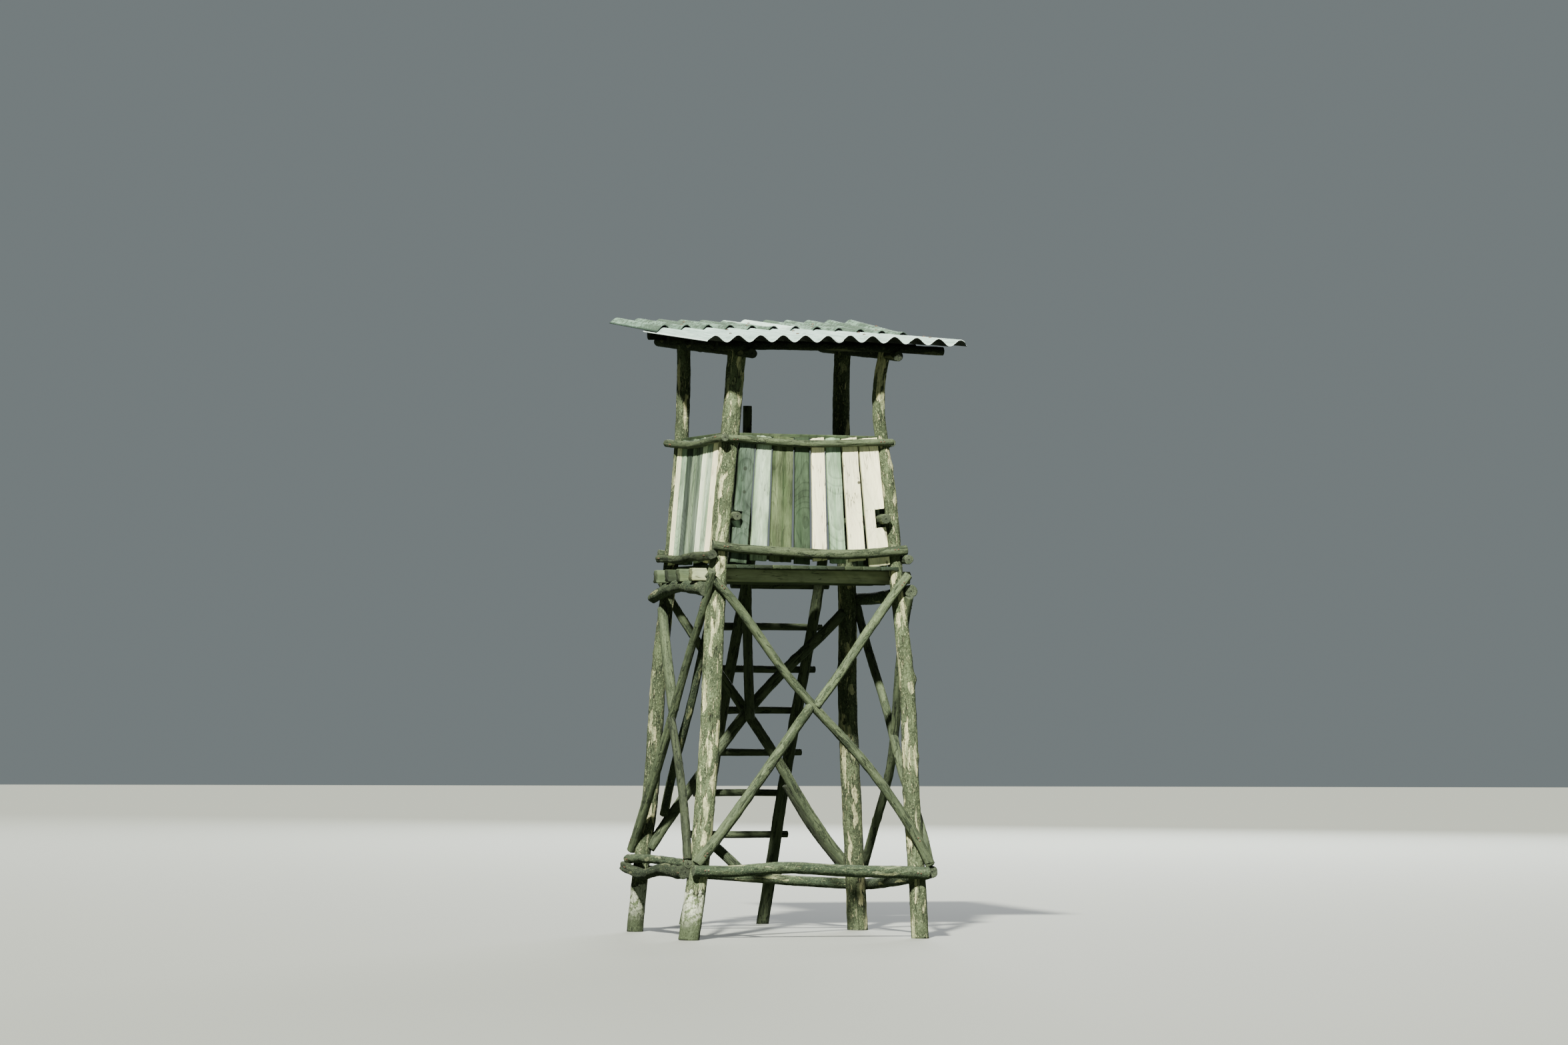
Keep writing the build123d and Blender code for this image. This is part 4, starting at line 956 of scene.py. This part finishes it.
# the back sheets' dark rim along their lower and side edges is painted shadow at the lap
backSheets = sheetMaterial("mossySheets", {
    **sheetLook, "pale": (0.197, 0.307, 0.235), "grey": (0.103, 0.175, 0.131), "dirtShare": 0.8, "mossFrom": 0.46,
    "mossShare": 0.85, "speckShare": 0.7, "clean": (-0.06, 0.26),
    "rim": (0.012, 0.026, 0.018), "rimWide": 0.007})
sheetShape = {"pitch": 0.177, "colsPerWave": 22, "rows": 40, "edge": 0.0015, "edgeThick": 0.5, "wear": 0.006,
              "flareReach": 0.09}
# chips out of the lower edges, as (place, half width, depth)
sheetChips = {"front_left_sheet": [(-0.97, 0.012, 0.012)],
              "front_right_sheet": [(1.10, 0.03, 0.045), (0.62, 0.008, 0.008)],
              "back_left_sheet": [(-0.55, 0.01, 0.01)], "back_right_sheet": []}
sheetFits = {}
for node, chips in sheetChips.items():
    seed += 1
    material, flare = (frontSheets, 0.0) if node.startswith("front") else (backSheets, 0.010)
    sheetFits[node] = roofSheet(node, material, {**sheetShape, "chips": chips, "flare": flare}, seed)
print("roof sheets dressed")


# Nails

nailDome = {"rise": (-0.6, 0.5, 0.9), "reach": (1.0, 1.0, 0.55), "ends": (-0.6, 1.0), "lean": 0.08}


def nailHeads(places, outward, look, seed):
    # hammered heads, a low dome each: place + rise * outward + reach * (cos t * first + sin t * second), in three
    # rings that narrow upwards, each head leaning its own way
    rng = np.random.default_rng(seed)
    places = np.array(places)
    outward = unit(np.array(outward) + rng.uniform(-nailDome["lean"], nailDome["lean"], (len(places), 3)))
    first = unit(np.cross(outward, [0.3, 0.2, 0.9]))
    second = np.cross(outward, first)
    turn = np.arange(8) * np.pi / 4
    rise = np.array(nailDome["rise"]) * look["height"]
    reach = np.array(nailDome["reach"]) * look["radius"]
    around = np.cos(turn)[None, :, None] * first[:, None] + np.sin(turn)[None, :, None] * second[:, None]
    grids = places[:, None, None] + rise[None, :, None, None] * outward[:, None, None] \
        + reach[None, :, None, None] * around[:, None]
    tips = places[:, None] + np.array(nailDome["ends"])[None, :, None] * look["height"] * outward[:, None]
    grids, tips = (np.clip(part, cadLow, cadHigh) for part in (grids, tips))
    return [{"grid": grid, "tips": tip, "extra": {}} for grid, tip in zip(grids, tips)]


def ironMaterial():
    # rusty iron: dark scale under brown rust, told apart by a fine noise
    material, tree = newMaterial("rustyIron")
    rust = between(noise(objectPlace(tree), 180.0, 4.0, 0.7), 0.4, 0.62)
    colour = mixed(rust, (0.05, 0.045, 0.04), (0.20, 0.10, 0.045))
    return surfaced(material, colour, scaled(rust, 0.3, 0.55), rust, 0.6, 0.0006, {"Metallic": 0.35})


rustyIron = ironMaterial()
nailLook = {"log": {"radius": 0.006, "height": 0.003, "shifts": (0.014, -0.012)},
            "board": {"radius": 0.004, "height": 0.0018, "shares": (-0.55, 0.5)},
            "roof": {"radius": 0.011, "height": 0.006, "every": 3, "front": (0.19, 0.80), "back": (0.13, 0.62)}}


def nailed(name, nails, look):
    # one piece of nails, given as (place, way out) each
    global seed
    seed += 1
    finished(makeMesh(name, *joinParts(nailHeads(*zip(*nails), look, seed))), rustyIron)


def crossing(spine, other):
    # where a log passes another most closely: the place on its outer side, the way out, and its own direction
    gaps = np.linalg.norm(spine["path"][:, None] - other["path"][None], axis=2)
    k, j = np.unravel_index(gaps.argmin(), gaps.shape)
    away = spine["path"][k] - other["path"][j]
    along = unit(spine["path"][min(k + 1, len(gaps) - 1)] - spine["path"][max(k - 1, 0)])
    away = unit(away - (away @ along) * along)
    return spine["path"][k] + away * (spine["radius"][k] + 0.001), away, along


# the logs that are nailed to posts, to both at their side of the tower unless a post is named here
sidePosts = {"front": ("front_left", "front_right"), "left": ("front_left", "back_left"),
             "right": ("front_right", "back_right"), "back": ("back_left", "back_right")}
onePost = {"front_lower_brace": ["front_left"], "front_upper_brace": ["front_right"],
           "left_lower_brace": ["front_left"], "left_upper_sill_log": ["back_left"]}
heldLogs = ["front_through_brace", "front_lower_brace", "front_upper_brace", "left_through_brace", "left_lower_brace",
            "right_through_brace", "right_cross_brace", "back_falling_brace", *lowNodes, *railNodes]
nails, look = [], nailLook["log"]
for node in heldLogs:
    for post in onePost.get(node, sidePosts[node.split("_")[0]]):
        place, away, along = crossing(spines[node][0], spines["post_" + post][0])
        nails += [(place + along * shift, away) for shift in look["shifts"]]
for rung in spines["ladder_rungs"]:
    for rail in spines["ladder_rails"]:
        nails.append(crossing(rung, rail)[:2])
nailed("logNails", nails, look)

nails, look = [], nailLook["board"]
for board, levels, side in boardFits:
    # two nails across the board at each level, on its inner or upper side
    width, normal, length = board["axes"]
    for level in levels:
        reach = [np.polyval(line, level) for line in board["sides"]]
        middle, half = (reach[1] - reach[0]) / 2, (reach[1] + reach[0]) / 2
        for share in look["shares"]:
            place = width * (middle + half * share) + normal * board[side] + length * level
            nails.append((place, normal if side == "face" else -normal))
nailed("boardNails", nails, look)

nails, look = [], nailLook["roof"]
for node, fit in sheetFits.items():
    # two rows on each sheet, on every third crest
    x = np.arange(fit["left"], fit["right"], 0.001)
    for number, run in enumerate(look[node.split("_")[0]]):
        share = run / (fit["highY"] - fit["lowY"])
        z = waveTerms(x, sheetShape["pitch"]) @ (fit["lines"][0] * (1 - share) + fit["lines"][1] * share)
        crests = np.flatnonzero((z[1:-1] > z[:-2]) & (z[1:-1] >= z[2:])) + 1
        nails += [((x[k], fit["lowY"] + run, z[k] + 0.001), (0, -0.1, 1)) for k in crests[1 + number::look["every"]]]
nailed("roofNails", nails, look)
print("nails driven")


# Camera, light and floor

cameraLook = {"place": (-13.0715, -38.3, 1.84), "turn": 19.0, "tilt": 1.865, "roll": 0.4584, "lens": 120.37}

camera = placed("camera", bpy.data.cameras.new("camera"))
camera.location = cameraLook["place"]
camera.rotation_mode = "QUATERNION"
turn, tilt, roll = (math.radians(cameraLook[key]) for key in ("turn", "tilt", "roll"))
camera.rotation_quaternion = (Quaternion((0, 0, 1), -turn) @ Quaternion((1, 0, 0), math.pi / 2 + tilt)
                              @ Quaternion((0, 0, 1), roll))
camera.data.lens = cameraLook["lens"]
camera.data.sensor_width = 36.0
camera.data.clip_end = 200.0
bpy.context.scene.camera = camera

floorLook = {"half": 60.0, "seen": (0.24, 0.255, 0.235), "bounced": (0.035, 0.05, 0.025)}
half = floorLook["half"]
floorMesh = bpy.data.meshes.new("floor")
floorMesh.from_pydata([(-half, -half, 0), (half, -half, 0), (half, half, 0), (-half, half, 0)], [], [(0, 1, 2, 3)])
floor = placed("floor", floorMesh)
floorMaterial = bpy.data.materials.new("paleFloor")
floorMaterial.use_nodes = True
floorTree = floorMaterial.node_tree
# pale to the eye, while little light comes back up from it, as over grass
seen = put(floorTree, "ShaderNodeLightPath").outputs["Is Camera Ray"]
floorShader = floorTree.nodes["Principled BSDF"]
floorTree.links.new(mixed(seen, floorLook["bounced"], floorLook["seen"]), floorShader.inputs["Base Color"])
floorShader.inputs["Roughness"].default_value = 0.9
floorMesh.materials.append(floorMaterial)

lightLook = {
    "key": {"kind": "SUN", "place": (-11.6, -18.6, 23.5), "size": 0.05, "power": 15.0, "colour": (1.0, 0.98, 0.87)},
    "fill": {"kind": "AREA", "place": (10.0, -14.0, 7.0), "size": 8.0, "power": 90.0, "colour": (0.90, 0.97, 1.0)},
    "back": {"kind": "AREA", "place": (14.0, 26.0, 13.0), "size": 14.0, "power": 12500.0,
             "colour": (0.95, 0.98, 1.0)}}
for name, look in lightLook.items():
    lamp = placed(name, bpy.data.lights.new(name, look["kind"]))
    lamp.location = look["place"]
    aim = Vector((0, 0, 3.0)) - lamp.location
    lamp.rotation_mode = "QUATERNION"
    lamp.rotation_quaternion = aim.to_track_quat("-Z", "Y")
    setattr(lamp.data, "angle" if look["kind"] == "SUN" else "size", look["size"])
    lamp.data.energy = look["power"]
    lamp.data.color = look["colour"]
world = bpy.data.worlds.new("studio")
bpy.context.scene.world = world
world.use_nodes = True
skyLook = {"colour": (0.80, 0.93, 0.95, 1), "seen": 0.22, "cast": 0.085}
worldTree = world.node_tree
seen = put(worldTree, "ShaderNodeLightPath").outputs["Is Camera Ray"]
worldTree.nodes["Background"].inputs[0].default_value = skyLook["colour"]
worldTree.links.new(scaled(seen, skyLook["seen"] - skyLook["cast"], skyLook["cast"]),
                    worldTree.nodes["Background"].inputs[1])
print("camera, light and floor placed")
